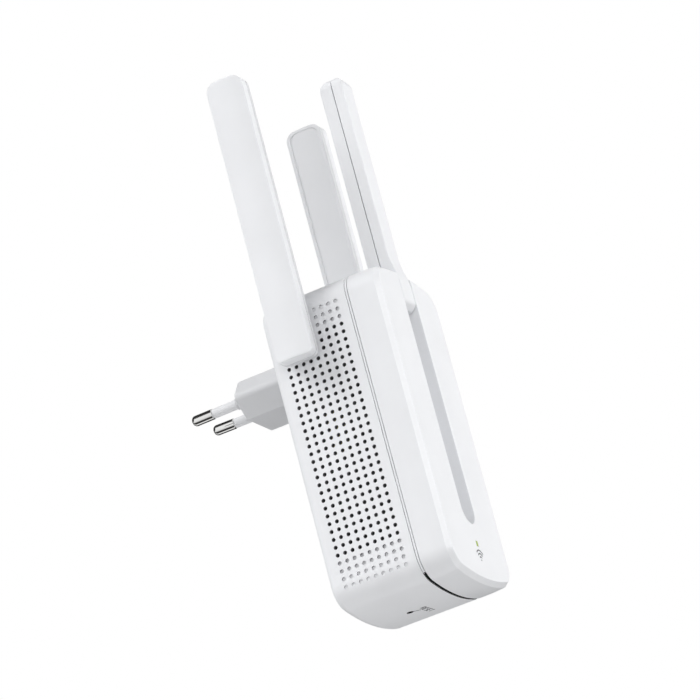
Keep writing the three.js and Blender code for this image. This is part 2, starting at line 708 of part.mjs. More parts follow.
for (const [name, side] of [['left', -1], ['right', 1]]) {
  const place = (geometry) => (side < 0 ? mirrored(geometry) : geometry);
  add(`plug_pin_${name}`, pinMetal(side), metal(NICKEL, 0.18));
  add(`pin_sleeve_${name}`, pinSleeve(side), plastic(SLEEVE_GREY, 0.4));
  add(`${name}_outer_shell`, place(sideOuterShell()), plastic(WHITE, 0.36));
  add(`${name}_inner_shell`, place(sideInnerShell()), plastic(SHADE_WHITE, 0.42));
  add(`${name}_hub`, place(sideHub()), plastic(SHADE_WHITE, 0.45));
  add(`${name}_clip`, place(sideClip()), metal(STEEL, 0.3));
  add(`${name}_radiator`, place(sideRadiator()), metal(COPPER, 0.35));
  add(`${name}_coax`, place(sideCoax()), plastic(JACKET_GREY, 0.5));
}

add('front_outer_shell', frontOuterShell(), plastic(SHADE_WHITE, 0.4));
add('front_inner_shell', frontInnerShell(), plastic(WHITE, 0.38));
add('front_radiator', frontRadiator(), metal(COPPER, 0.35));
const pinReach = GROOVE_HALF_W + GROOVE_WALL + 1;
const hingePin = rod('x', HINGE_PIN_R, -pinReach, pinReach, FRONT_PIVOT_Y, FRONT_PIVOT_Z, 12);
add('front_hinge_pin', hingePin, metal(STEEL, 0.3));
add('front_coax', frontCoax(), plastic(JACKET_GREY, 0.5));

add('main_board', mainBoard(), plastic(BOARD_GREEN, 0.5));
bossPlaces().forEach((place, i) => {
  add(`board_screw_${i + 1}`, boardScrew(place), metal(STEEL, 0.3));
});
add('power_board', powerBoard(), plastic(BOARD_GREEN, 0.5));
add('transformer_core', transformerCore(), plastic(FERRITE_GREY, 0.6));
add('transformer_bobbin', transformerBobbin(), plastic(TAPE_YELLOW, 0.5));
add('bulk_capacitor', bulkCapacitor(), plastic(CAPACITOR_BLACK, 0.4));
add('output_capacitor', outputCapacitor(), plastic(CAPACITOR_BLACK, 0.4));
add('mains_fuse', onPowerBoard(...MAINS_FUSE), plastic(FUSE_BROWN, 0.4));
add('bridge_rectifier', onPowerBoard(...BRIDGE_RECTIFIER), plastic(CHIP_BLACK, 0.5));
add('suppression_capacitor', onPowerBoard(...SUPPRESSION_CAPACITOR), plastic(FILM_YELLOW, 0.5));
add('board_header', boardHeader(), plastic(CHIP_BLACK, 0.5));
add('radio_shield', onMainBoard(...RADIO_SHIELD), metal(TIN, 0.3));
add('processor_chip', onMainBoard(...PROCESSOR_CHIP), plastic(CHIP_BLACK, 0.5));
add('memory_chip', onMainBoard(...MEMORY_CHIP), plastic(CHIP_BLACK, 0.5));
add('status_led', onMainBoard(-1, 1, LED_Z - 1, LED_Z + 1, 1), plastic(LED_CLEAR, 0.3));
add('light_pipe', lightPipe(), plastic(WINDOW_GREEN, 0.2));
add('tact_switch', tactSwitch(), plastic(CHIP_BLACK, 0.5));
add('reset_button', resetButton(), plastic(BUTTON_GREY, 0.45));

export default extender;
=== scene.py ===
"""Looks of a plug-in wifi range extender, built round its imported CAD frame. Metres, +Z up."""

import json
import math

import bmesh
import bpy
from mathutils import Matrix, Vector


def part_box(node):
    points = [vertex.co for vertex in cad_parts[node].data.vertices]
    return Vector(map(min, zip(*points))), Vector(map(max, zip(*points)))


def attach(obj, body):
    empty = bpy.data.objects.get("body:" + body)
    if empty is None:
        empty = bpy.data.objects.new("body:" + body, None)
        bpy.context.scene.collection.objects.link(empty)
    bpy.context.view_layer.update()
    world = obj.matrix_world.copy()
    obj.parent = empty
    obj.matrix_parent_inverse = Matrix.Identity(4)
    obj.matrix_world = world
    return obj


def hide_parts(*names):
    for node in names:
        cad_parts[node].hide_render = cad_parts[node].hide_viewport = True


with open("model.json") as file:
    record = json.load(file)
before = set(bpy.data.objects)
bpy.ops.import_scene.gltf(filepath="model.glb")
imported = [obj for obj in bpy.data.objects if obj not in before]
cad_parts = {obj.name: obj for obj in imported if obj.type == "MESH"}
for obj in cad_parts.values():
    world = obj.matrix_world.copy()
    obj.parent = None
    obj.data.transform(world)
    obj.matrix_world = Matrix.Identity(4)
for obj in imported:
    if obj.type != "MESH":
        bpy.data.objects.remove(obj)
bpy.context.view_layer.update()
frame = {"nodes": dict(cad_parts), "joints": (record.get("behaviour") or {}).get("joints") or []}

MM = 0.001
PAST = 1 * MM                   # how far a cutting tool reaches past what it cuts

# ---- sizes read from the frame ----
CASING_LOW, CASING_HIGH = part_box("rear_casing")
COVER_LOW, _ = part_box("front_cover")
SHELL_LOW, SHELL_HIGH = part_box("right_outer_shell")
INNER_LOW, INNER_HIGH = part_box("right_inner_shell")
HUB_LOW, HUB_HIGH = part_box("right_hub")
FRONT_REAR_LOW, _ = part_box("front_outer_shell")
FRONT_FORE_LOW, FRONT_FORE_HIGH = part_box("front_inner_shell")
PLUG_LOW, PLUG_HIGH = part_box("plug_housing")
PIN_LOW, PIN_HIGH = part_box("plug_pin_right")
SLEEVE_LOW, SLEEVE_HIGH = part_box("pin_sleeve_right")
WINDOW_LOW, WINDOW_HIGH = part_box("light_pipe")
RESET_LOW, RESET_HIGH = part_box("reset_button")
HINGE_LOW, HINGE_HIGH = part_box("front_hinge_pin")
PIVOTS = {joint["name"]: Vector(joint["pos_m"]) for joint in frame["joints"] if "pos_m" in joint}
SIDE_PIVOT = PIVOTS["right_antenna_fold"]
FRONT_PIVOT = PIVOTS["front_antenna_fold"]
SIDE_AXIS = (0, SIDE_PIVOT.y, SIDE_PIVOT.z)
FRONT_AXIS = (0, FRONT_PIVOT.y, FRONT_PIVOT.z)

# ---- casing ----
HALF_W = CASING_HIGH.x
TOP_Z = CASING_HIGH.z
BOTTOM_Z = CASING_LOW.z
REAR_Y = CASING_HIGH.y
FRONT_Y = COVER_LOW.y
END_R = 110 * MM                # crown of the top and bottom ends
CORNER_R = 9 * MM
REAR_EDGE_R = 3.2 * MM
WALL = 2 * MM
CASING_RIM_Y = -56.4 * MM
COVER_RIM_Y = -57.6 * MM
RIM_R = 0.15 * MM
TONGUE_INSET = 1.1 * MM         # the tongue that closes the seam, below the outer surface
TONGUE_REACH = 2.2 * MM
TONGUE_GAP = 0.2 * MM            # between the tongue and the cover
BAND_INSET = 0.1 * MM           # the band of the tongue that shows between two fine lines
BAND_START = 0.26 * MM
BAND_END = 0.92 * MM
OPEN_SEAM_HEIGHT = 4.5 * MM     # the seam has no tongue behind it below this height
# the step round the lower rim is painted near-black, as shade
RIM_LAND = 0.12 * MM            # the white line left outside the dark step there
RIM_STEP = 0.4 * MM
BEVEL_START = 1.9 * MM          # how far behind the front face the bevel starts
BEVEL_INSET = 1.9 * MM
BEVEL_EDGE_R = 0.3 * MM
LEAN_START_Y = COVER_RIM_Y - 2.5 * MM
COVER_LEAN = 0.4 * MM           # how far the cover's side draws in towards the bevel
BOSS_X = 19.5 * MM
BOSS_Z = (14 * MM, -80 * MM)
BOSS_FRONT_Y = -42.1 * MM
BOSS_R = 3 * MM
SCREW_HOLE_R = 1.5 * MM
OPENING_GAP = 0.2 * MM          # round the plug
OPENING_MOUTH = 0.35 * MM       # how much wider and how deep the opening's mouth is
RESET_Y = (RESET_LOW.y + RESET_HIGH.y) / 2
RESET_HOLE_R = 1.15 * MM
RESET_HOLE_MOUTH = 0.15 * MM

# ---- perforations in its sides ----
HOLE_PITCH = 3 * MM
HOLE_R = 0.74 * MM
HOLE_MOUTH = 0.1 * MM           # how much wider and how deep each hole's mouth is
HOLE_FIRST_Y = -28.1 * MM
HOLE_ROW_Z = -2.2 * MM
HOLE_COLUMNS = 9
HOLE_ROWS = range(-6, 29)
OPEN_ROWS = range(-3, 25)
DIMPLE_DEEP = 0.95 * MM         # the dimple next to the open rows
DIMPLE_STEP = 0.2 * MM          # how much shallower each further one is
HUB_COLUMNS = 5                 # the rearmost columns, which stop below the antenna's hub
HUB_LAST_ROW = -1

# ---- groove ----
GROOVE_HALF_W = 5.75 * MM
GROOVE_END_Z = -72 * MM
GROOVE_WALL = 1.3 * MM
GROOVE_FLOOR_Y = -57.75 * MM
GROOVE_LIP_Y = -58.35 * MM
GROOVE_LIP_Z = 24.9 * MM
GROOVE_MOUTH_R = 0.35 * MM
GROOVE_FLOOR_R = 0.9 * MM
HINGE_BORE_R = 1.75 * MM
HINGE_BORE_HALF_L = 12 * MM
CHANNEL_BACK_Z = TOP_Z - 8 * MM     # above this the groove's wall stops at the cover's rim
ABOVE_TOP_Z = TOP_Z + 6 * MM
WINDOW_Z = (WINDOW_LOW.z + WINDOW_HIGH.z) / 2
WINDOW_HALF_W = 0.8 * MM
WINDOW_HALF_H = 1.0 * MM
WINDOW_GAP = 0.12 * MM
WINDOW_PROUD = 0.06 * MM
WINDOW_EDGE_R = 0.2 * MM

# ---- antennas ----
SIDE_HALF_W = 7.4 * MM
SIDE_TOP_R = 4 * MM
SIDE_LOW_R = 2.5 * MM
SIDE_CROWN = 1.4 * MM           # sagitta of the outer face
SIDE_EDGE_R = 0.35 * MM
SIDE_WALL = 1.5 * MM
SIDE_FACE_WALL = 1.2 * MM
SIDE_END_DRAW = 0.5 * MM        # how far the outer face draws in at both ends
SEAM_EDGE_R = 0.15 * MM
INNER_EDGE_R = 0.5 * MM
RECESS_INSET = 1.5 * MM
RECESS_DEPTH = 0.5 * MM         # at its long edges; its floor is crowned
RECESS_CROWN = 0.35 * MM
RECESS_CHAMFER = 0.3 * MM
RECESS_ROUNDING = 0.6           # how much of its inset its corner radii lose
HUB_BORE_R = 4.8 * MM
FRONT_HALF_W = 5 * MM
FRONT_BACK = 5.5 * MM
FRONT_FORE = 3.7 * MM
FRONT_FOOT_R = 6.4 * MM
FRONT_TOP_CORNER_R = 3.6 * MM
FRONT_TOP_BACK_R = 4.8 * MM
FRONT_TOP_FORE = 0.5 * MM       # the flat that is left at the very top, either side of the pivot
FRONT_TOP_BACK = 1.5 * MM
FRONT_EDGE_R = 0.5 * MM
FRONT_SEAM_R = 0.12 * MM
FRONT_TOP = FRONT_FORE_HIGH.z - FRONT_PIVOT.z
FRONT_BOTTOM = FRONT_FORE_LOW.z - FRONT_PIVOT.z
RADIATOR_ROOM = 0.5 * MM
NECK_LOW = 3 * MM               # between these heights its front face steps back
NECK_HIGH = 16 * MM

# ---- plug ----
PLUG_HALF_W = 17.6 * MM
PLUG_HALF_H = 7.6 * MM
PLUG_FLAT = 10.2 * MM           # half width of its flat top and underside
PLUG_SIDE_R = 2.2 * MM
PLUG_CORNER_R = 1.0 * MM
PLUG_FACE_R = 0.8 * MM
FLANGE_HALF_H = 10.5 * MM
FLANGE_THICK = 2 * MM
FLANGE_EDGE_R = 0.4 * MM
PIN_ROOT_X = 9.3 * MM
PIN_TIP_X = 8.75 * MM
PIN_R = 2 * MM
PIN_CORE_R = 1.2 * MM           # inside the sleeve
PIN_EDGE_R = 0.15 * MM
PIN_TIP_L = 1.5 * MM
SLEEVE_R = 1.85 * MM
SLEEVE_FIT = 0.08 * MM
SLEEVE_EDGE_R = 0.2 * MM
COLLAR_R = 2.3 * MM
COLLAR_L = 2.5 * MM
COLLAR_EDGE_R = 0.35 * MM
GAP = 0.3 * MM

# ---- printed marks ----
ICON_Z = -86.2 * MM
ICON_R = 3.8 * MM               # outermost arc
ICON_ARCS = 3
ICON_SPREAD = (42, 138)         # degrees
ICON_DOT = 0.3 * MM
ICON_LINE = 0.5 * MM
LEADER = ((0, -1.2 * MM), (0.5 * MM, -1.8 * MM), (1.4 * MM, -3.7 * MM))     # from the reset hole
WORD_DISTANCE = 4.2 * MM        # from the reset hole to the word, forwards
WORD_START_X = -0.6 * MM
WORD_LINE = 0.36 * MM
LETTER_PITCH = 1.9 * MM
LETTER_H = 2.1 * MM
LETTER_STROKES = {
    "R": [[(0, 0), (0, 1)], [(0, 1), (0.6, 1), (0.6, 0.5), (0, 0.5)], [(0.25, 0.5), (0.6, 0)]],
    "E": [[(0, 0), (0, 1)], [(0, 1), (0.6, 1)], [(0, 0.5), (0.5, 0.5)], [(0, 0), (0.6, 0)]],
    "S": [[(0.6, 1), (0, 1), (0, 0.5), (0.6, 0.5), (0.6, 0), (0, 0)]],
    "T": [[(0, 1), (0.7, 1)], [(0.35, 1), (0.35, 0)]],
}
INK_PROUD = 0.04 * MM           # above the surface, and as far below it

# ---- room, lights and camera ----
FLOOR_Z = -0.62
FLOOR_HALF_SIZE = 12
FLOOR_ALBEDO = 0.74
SKY_LIGHT = 0.33
SUNS = {                        # towards the light, strength, spread in degrees
    "key_left": ((-0.45, 0.5, 0.74), 2.1, 36),
    "key_front": ((0.45, -0.85, 0.3), 1.5, 60),
    "fill_near": ((-0.78, -0.6, 0.02), 0.98, 60),
}
DARK_TOWARDS = (0.302, 0.905, 0.302)    # the dark side of the studio, in mirrors
SKY_BANDS = ((0.0, 7.0), (0.13, 7.0), (0.19, 0.95), (0.64, 0.95), (0.68, 0.04), (1.0, 0.03))
FLOOR_BANDS = (
    (0.0, 0.9), (0.2, 0.85), (0.34, 0.6), (0.37, 0.04),
    (0.505, 0.04), (0.52, 0.95), (0.585, 0.95), (0.6, 0.04),
)
FLOOR_BAND_REACH = 2.0
CAMERA_AT = (-1.2443, -0.5032, -0.4594)
CAMERA_RIGHT = (0.41585, -0.87614, -0.24382)
CAMERA_UP = (-0.21044, -0.35352, 0.91145)
CAMERA_LENS = 197.4
CAMERA_SENSOR = 36.0

SHARP_ANGLE = math.radians(32)


# ---- outlines ----
def quarter(start, end, leaves_first, steps=5):
    """Quarter-ellipse of (position, inset) points that leaves start along position or inset."""
    points = []
    for i in range(steps + 1):
        angle = math.pi / 2 * i / steps
        early, late = math.sin(angle), 1 - math.cos(angle)
        along, across = (early, late) if leaves_first else (late, early)
        points.append((
            start[0] + (end[0] - start[0]) * along,
            start[1] + (end[1] - start[1]) * across,
        ))
    return points


def fillet(path, radii, steps=4, closed=True):
    """Path of 2-D points with its corners rounded, each by its own radius."""
    rounded = []
    for i, (corner, radius) in enumerate(zip(path, radii)):
        inner = closed or 0 < i < len(path) - 1
        if not inner or radius == 0:
            rounded.append(tuple(corner))
            continue
        here = Vector(corner)
        back = (Vector(path[i - 1]) - here).normalized()
        ahead = (Vector(path[(i + 1) % len(path)]) - here).normalized()
        half = back.angle(ahead) / 2
        centre = here + (back + ahead).normalized() * (radius / math.sin(half))
        start = here + back * (radius / math.tan(half)) - centre
        end = here + ahead * (radius / math.tan(half)) - centre
        start, end = start.normalized(), end.normalized()
        rounded += [tuple(centre + radius * start.slerp(end, k / steps)) for k in range(steps + 1)]
    return rounded


def casing_outline(inset, corner_steps=12, end_steps=10, straight_steps=6):
    """Casing outline in X-Z, moved inwards: straight sides, round corners, crowned ends."""
    corner_x = HALF_W - CORNER_R
    lean = math.asin(corner_x / (END_R - CORNER_R))
    drop = END_R - (END_R - CORNER_R) * math.cos(lean)
    turn = math.pi / 2 - lean
    points = []
    for i in range(corner_steps + 1):
        angle = turn * i / corner_steps
        radius = CORNER_R - inset
        points.append((corner_x + radius * math.cos(angle), TOP_Z - drop + radius * math.sin(angle)))
    for i in range(1, end_steps + 1):
        angle = turn + lean * i / end_steps
        radius = END_R - inset
        points.append((radius * math.cos(angle), TOP_Z - END_R + radius * math.sin(angle)))
    top = points + [(-x, z) for x, z in reversed(points[:-1])]
    side_top = TOP_Z - drop
    side_length = side_top - (BOTTOM_Z + drop)
    side = [
        (-HALF_W + inset, side_top - side_length * i / straight_steps)
        for i in range(1, straight_steps)
    ]
    half = top + side
    return half + [(-x, TOP_Z + BOTTOM_Z - z) for x, z in half]


def casing_side_x(z):
    """Where the casing's side is, at a height."""
    lean = math.asin((HALF_W - CORNER_R) / (END_R - CORNER_R))
    drop = END_R - (END_R - CORNER_R) * math.cos(lean)
    past = max(z - (TOP_Z - drop), BOTTOM_Z + drop - z, 0)
    return HALF_W - CORNER_R + math.sqrt(CORNER_R ** 2 - past ** 2)


def casing_rings(profile):
    return [[(x, y, z) for x, z in casing_outline(inset)] for y, inset in profile]


def rounded_rectangle(half_width, low, high, top_r, low_r, steps=8):
    corners = [(half_width, high), (-half_width, high), (-half_width, low), (half_width, low)]
    return fillet(corners, [top_r, top_r, low_r, low_r], steps)


# ---- solids ----
def solid(bm, material):
    """An object from a bmesh, with its faces turned outwards."""
    bmesh.ops.recalc_face_normals(bm, faces=bm.faces)
    mesh = bpy.data.meshes.new("solid")
    bm.to_mesh(mesh)
    bm.free()
    mesh.materials.append(material)
    piece = bpy.data.objects.new("solid", mesh)
    bpy.context.scene.collection.objects.link(piece)
    return piece


def add_skin(bm, rings, closed=False):
    """Faces over rings of equal length, capped at both ends, or joined end to end."""
    loops = [[bm.verts.new(point) for point in ring] for ring in rings]
    pairs = list(zip(loops, loops[1:]))
    if closed:
        pairs.append((loops[-1], loops[0]))
    sides = []
    for low, high in pairs:
        for i in range(len(low)):
            j = (i + 1) % len(low)
            sides.append(bm.faces.new((low[i], low[j], high[j], high[i])))
    if not closed:
        bm.faces.new(loops[0])
        bm.faces.new(reversed(loops[-1]))
    return sides


def loft(rings, material, closed=False):
    bm = bmesh.new()
    add_skin(bm, rings, closed)
    return solid(bm, material)


def turned(profile, axis, centre, material, sides=48, closed=False, turn=None):
    """A turned piece: (position, radius) points about an axis through centre."""
    turn = turn or Matrix.Identity(3)
    rings = []
    for along, radius in profile:
        ring = []
        for i in range(sides):
            angle = 2 * math.pi * i / sides
            u, v = radius * math.cos(angle), radius * math.sin(angle)
            offset = {"x": (along, u, v), "y": (u, along, v), "z": (u, v, along)}[axis]
            ring.append(turn @ Vector(offset) + Vector(centre))
        rings.append(ring)
    return loft(rings, material, closed)


def rod(start, end, radius, axis, centre, material, sides):
    """A plain round bar between two positions along an axis through centre."""
    return turned([(start, radius), (end, radius)], axis, centre, material, sides)


def block(low, high, material, edge_r=0.0):
    """A block between two corners: its edges along Y are rounded, and its two ends softened."""
    centre_x, centre_z = (low[0] + high[0]) / 2, (low[2] + high[2]) / 2
    half_x, half_z = (high[0] - low[0]) / 2, (high[2] - low[2]) / 2
    profile = [(low[1], 0.0), (high[1], 0.0)]
    if edge_r:
        profile = quarter((low[1], edge_r), (low[1] + edge_r, 0), False, 3)
        profile += quarter((high[1] - edge_r, 0), (high[1], edge_r), True, 3)
    rings = []
    for y, inset in profile:
        corners = [(1, 1), (-1, 1), (-1, -1), (1, -1)]
        loop = [(centre_x + sx * (half_x - inset), centre_z + sz * (half_z - inset)) for sx, sz in corners]
        if edge_r:
            loop = fillet(loop, [max(edge_r * 1.5 - inset, edge_r / 4)] * 4, 3)
        rings.append([(x, y, z) for x, z in loop])
    return loft(rings, material)


def combine(piece, tool, operation):
    modifier = piece.modifiers.new("shape", "BOOLEAN")
    modifier.operation = operation
    modifier.solver = "MANIFOLD"
    modifier.material_mode = "TRANSFER"
    modifier.object = tool
    graph = bpy.context.evaluated_depsgraph_get()
    made = bpy.data.meshes.new_from_object(piece.evaluated_get(graph))
    piece.modifiers.clear()
    piece.data = made
    bpy.data.objects.remove(tool)
    return piece


def cut(piece, *tools):
    for tool in tools:
        combine(piece, tool, "DIFFERENCE")
    return piece


def join(piece, *others):
    for other in others:
        combine(piece, other, "UNION")
    return piece


def keep_common(piece, other):
    return combine(piece, other, "INTERSECT")


def place(piece, name, body, nodes):
    """Smooths a finished piece, names it and puts it in place of its CAD nodes."""
    piece.name = name
    piece.data.name = name
    piece.data.shade_smooth()
    piece.data.set_sharp_from_angle(angle=SHARP_ANGLE)
    normals = piece.modifiers.new("face_weighted_normals", "WEIGHTED_NORMAL")
    normals.keep_sharp = True
    normals.weight = 80
    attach(piece, body)
    if nodes:
        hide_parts(*nodes)
    return piece


# ---- materials ----
def set_inputs(node, values):
    for socket, value in values.items():
        node.inputs[socket].default_value = value


def add_node(tree, kind, values=None):
    node = tree.nodes.new("ShaderNode" + kind)
    set_inputs(node, values or {})
    return node


def add_ramp(tree, factor, stops):
    """Colours a factor by a ramp through (position, colour) stops."""
    ramp = add_node(tree, "ValToRGB")
    while len(ramp.color_ramp.elements) < len(stops):
        ramp.color_ramp.elements.new(0.5)
    for element, (position, color) in zip(ramp.color_ramp.elements, stops):
        element.position = position
        element.color = (*color, 1)
    tree.links.new(factor, ramp.inputs["Fac"])
    return ramp.outputs["Color"]


def add_range(tree, factor, values):
    remap = add_node(tree, "MapRange", values)
    tree.links.new(factor, remap.inputs["Value"])
    return remap.outputs["Result"]


def principled(name, color, roughness, metallic=0.0):
    material = bpy.data.materials.new(name)
    material.use_nodes = True
    shader = material.node_tree.nodes["Principled BSDF"]
    set_inputs(shader, {"Base Color": (*color, 1), "Roughness": roughness, "Metallic": metallic})
    return material, material.node_tree, shader


def add_noise(tree, scale, detail=3.0, stretch=(1, 1, 1)):
    where = add_node(tree, "TexCoord")
    mapping = add_node(tree, "Mapping", {"Scale": stretch})
    noise = add_node(tree, "TexNoise", {"Scale": scale, "Detail": detail})
    tree.links.new(where.outputs["Object"], mapping.inputs["Vector"])
    tree.links.new(mapping.outputs["Vector"], noise.inputs["Vector"])
    return noise.outputs["Fac"]


def tint(tree, shader, factor, first, second, low=0.35, high=0.65):
    color = add_ramp(tree, factor, ((low, first), (high, second)))
    tree.links.new(color, shader.inputs["Base Color"])
    return color


def vary_roughness(tree, shader, factor, low, high):
    result = add_range(tree, factor, {"From Min": 0.3, "From Max": 0.7, "To Min": low, "To Max": high})
    tree.links.new(result, shader.inputs["Roughness"])


def add_bump(tree, shader, height, strength, distance):
    bump = add_node(tree, "Bump", {"Strength": strength, "Distance": distance})
    tree.links.new(height, bump.inputs["Height"])
    tree.links.new(bump.outputs["Normal"], shader.inputs["Normal"])


def shaded(color, factor):
    return tuple(channel * factor for channel in color)


def moulded_plastic(name, color, roughness, grain=0.12, gloss=0.5):
    """Moulded plastic: a fine spark texture, faint mottling and uneven gloss."""
    material, tree, shader = principled(name, color, roughness)
    shader.inputs["Specular IOR Level"].default_value = gloss
    cloud = add_noise(tree, 55.0, 4.0)
    tint(tree, shader, cloud, shaded(color, 0.985), shaded(color, 1.01))
    vary_roughness(tree, shader, add_noise(tree, 240.0, 3.0), roughness - 0.04, roughness + 0.05)
    add_bump(tree, shader, add_noise(tree, 3600.0, 2.0), grain, 0.03 * MM)
    return material


def metal(name, color, roughness, stretch=(1, 1, 1), grain=0.06):
    """Plated or drawn metal with fine lines along one way and small stains."""
    material, tree, shader = principled(name, color, roughness, 1.0)
    tint(tree, shader, add_noise(tree, 180.0, 5.0), shaded(color, 0.93), color)
    lines = add_noise(tree, 2600.0, 2.0, stretch)
    vary_roughness(tree, shader, lines, max(roughness - 0.05, 0.03), roughness + 0.06)
    add_bump(tree, shader, lines, grain, 0.01 * MM)
    return material


def speckled(name, first, second, scale, roughness):
    """Two-tone grainy surface, for ferrite, packages and sleeves."""
    material, tree, shader = principled(name, first, roughness)
    fleck = add_noise(tree, scale, 5.0)
    tint(tree, shader, fleck, first, second, 0.42, 0.62)
    vary_roughness(tree, shader, fleck, roughness - 0.06, roughness + 0.08)
    add_bump(tree, shader, fleck, 0.2, 0.03 * MM)
    return material


def circuit_board(name):
    """Green solder mask over traces, with small tinned pads."""
    material, tree, shader = principled(name, (0.02, 0.12, 0.05), 0.38)
    where = add_node(tree, "TexCoord").outputs["Object"]
    traces = add_node(tree, "TexBrick", {
        "Scale": 260.0,
        "Color1": (0.018, 0.11, 0.045, 1),
        "Color2": (0.022, 0.135, 0.055, 1),
        "Mortar": (0.05, 0.22, 0.09, 1),
        "Mortar Size": 0.03,
    })
    pads = add_node(tree, "TexVoronoi", {"Scale": 330.0})
    tree.links.new(where, traces.inputs["Vector"])
    tree.links.new(where, pads.inputs["Vector"])
    mix = add_node(tree, "MixRGB", {"Color2": (0.62, 0.60, 0.55, 1)})
    is_pad = add_ramp(tree, pads.outputs["Distance"], ((0.14, (1, 1, 1)), (0.18, (0, 0, 0))))
    tree.links.new(is_pad, mix.inputs["Fac"])
    tree.links.new(traces.outputs["Color"], mix.inputs["Color1"])
    tree.links.new(mix.outputs["Color"], shader.inputs["Base Color"])
    add_bump(tree, shader, traces.outputs["Fac"], 0.3, 0.03 * MM)
    return material


def lit_window(name):
    """Light pipe end: translucent green-yellow, glowing a little unevenly."""
    material, tree, shader = principled(name, (0.16, 0.26, 0.02), 0.3)
    glow = tint(tree, shader, add_noise(tree, 900.0, 2.0), (0.20, 0.29, 0.01), (0.34, 0.43, 0.02))
    tree.links.new(glow, shader.inputs["Emission Color"])
    shader.inputs["Emission Strength"].default_value = 0.15
    return material


def printed_ink(name):
    material, tree, shader = principled(name, (0.10, 0.10, 0.11), 0.55)
    tint(tree, shader, add_noise(tree, 2400.0, 3.0), (0.09, 0.09, 0.10), (0.16, 0.16, 0.17))
    return material


WHITE = (0.86, 0.866, 0.885)
CASING_WHITE = moulded_plastic("casing_white", WHITE, 0.42)
COVER_WHITE = moulded_plastic("cover_white", WHITE, 0.34, 0.08)
ANTENNA_WHITE = moulded_plastic("antenna_white", WHITE, 0.36, 0.08)
# a darker copy of the white: painted shade on the side antennas' inner shells
ANTENNA_INNER_PAINTED_SHADE = moulded_plastic("antenna_inner_white", shaded(WHITE, 0.84), 0.44)
# a darker copy of the white: painted shade over the whole plug
PLUG_PAINTED_SHADE = moulded_plastic("plug_white", shaded(WHITE, 0.8), 0.42)
SLEEVE_GREY = moulded_plastic("sleeve_grey", (0.78, 0.785, 0.80), 0.4, 0.02, 0.3)
# a slightly darker copy of the white: painted shade on the front antenna's rear shell
FRONT_REAR_PAINTED_SHADE = moulded_plastic("front_rear_white_painted_shade", shaded(WHITE, 0.97), 0.42)
HUB_WHITE = moulded_plastic("hub_white", shaded(WHITE, 0.9), 0.4)
# near-black painted shade: the casing's inside and every face cut with this material stand in for shadow
PAINTED_SHADE_INSIDE = moulded_plastic("casing_inside_painted_shade", (0.012, 0.012, 0.013), 0.75)
# dark grey painted shade on the walls of the open holes
HOLE_WALL_PAINTED_SHADE = moulded_plastic("hole_wall_painted_shade", (0.18, 0.18, 0.185), 0.6)
# mid grey painted shade on the dimples' walls, standing in for their occlusion
DIMPLE_WALL_PAINTED_SHADE = moulded_plastic("dimple_wall_painted_shade", (0.30, 0.30, 0.31), 0.5)
BUTTON_GREY = moulded_plastic("button_grey", (0.14, 0.14, 0.15), 0.5)
PIN_NICKEL = metal("pin_nickel", (0.86, 0.86, 0.85), 0.07, (1, 0.03, 1), 0.01)
STEEL = metal("spring_steel", (0.60, 0.60, 0.59), 0.30)
INK = printed_ink("printed_ink")


# ---- casing and cover ----
def rear_casing_blank():
    profile = quarter((REAR_Y, REAR_EDGE_R), (REAR_Y - REAR_EDGE_R, 0), False, 9)
    profile += [(REAR_Y - REAR_EDGE_R - 1 * MM, 0), (CASING_RIM_Y + 1.2 * MM, 0)]
    profile += quarter((CASING_RIM_Y + RIM_R, 0), (CASING_RIM_Y, RIM_R), True, 3)
    return loft(casing_rings(profile), CASING_WHITE)


def rear_casing_hollow():
    profile = quarter((REAR_Y - WALL, WALL + 1.4 * MM), (REAR_Y - WALL - 1.4 * MM, WALL), False, 4)
    profile.append((CASING_RIM_Y - PAST, WALL))
    # the casing's inner faces take the near-black painted shade
    return loft(casing_rings(profile), PAINTED_SHADE_INSIDE)


def seam_tongue():
    """The thin wall round the casing's rim that the cover slides over."""
    outer = [(CASING_RIM_Y + 0.8 * MM, TONGUE_INSET), (CASING_RIM_Y - BAND_START, TONGUE_INSET),
             (CASING_RIM_Y - BAND_START, BAND_INSET), (CASING_RIM_Y - BAND_END, BAND_INSET),
             (CASING_RIM_Y - BAND_END, TONGUE_INSET), (CASING_RIM_Y - TONGUE_REACH, TONGUE_INSET)]
    inner = [(CASING_RIM_Y + PAST, WALL), (CASING_RIM_Y - TONGUE_REACH - PAST, WALL)]
    tongue = cut(loft(casing_rings(outer), CASING_WHITE), loft(casing_rings(inner), CASING_WHITE))
    half_gate = GROOVE_HALF_W + GROOVE_WALL + 0.6 * MM
    gate = block(
        (-half_gate, CASING_RIM_Y - 4 * MM, 0), (half_gate, CASING_RIM_Y - GAP, ABOVE_TOP_Z), CASING_WHITE,
    )
    return cut(tongue, gate, lower_end(CASING_RIM_Y - 4 * MM, CASING_RIM_Y - GAP))


def lower_end(low_y, high_y):
    """A tool round the casing's lower end, up to where the seam has a tongue; the faces it cuts take its
    near-black painted shade.
    """
    return block(
        (-HALF_W - PAST, low_y, BOTTOM_Z - PAST),
        (HALF_W + PAST, high_y, BOTTOM_Z + OPEN_SEAM_HEIGHT), PAINTED_SHADE_INSIDE,
    )


def rim_shadow_groove():
    """A step in the casing's rim, round its lower end, where the seam is open, its faces painted near-black
    as shade.
    """
    rim = casing_rings([(CASING_RIM_Y - PAST, RIM_LAND), (CASING_RIM_Y + RIM_STEP, RIM_LAND)])
    return keep_common(loft(rim, PAINTED_SHADE_INSIDE), lower_end(CASING_RIM_Y - 2 * MM, CASING_RIM_Y + 2 * MM))


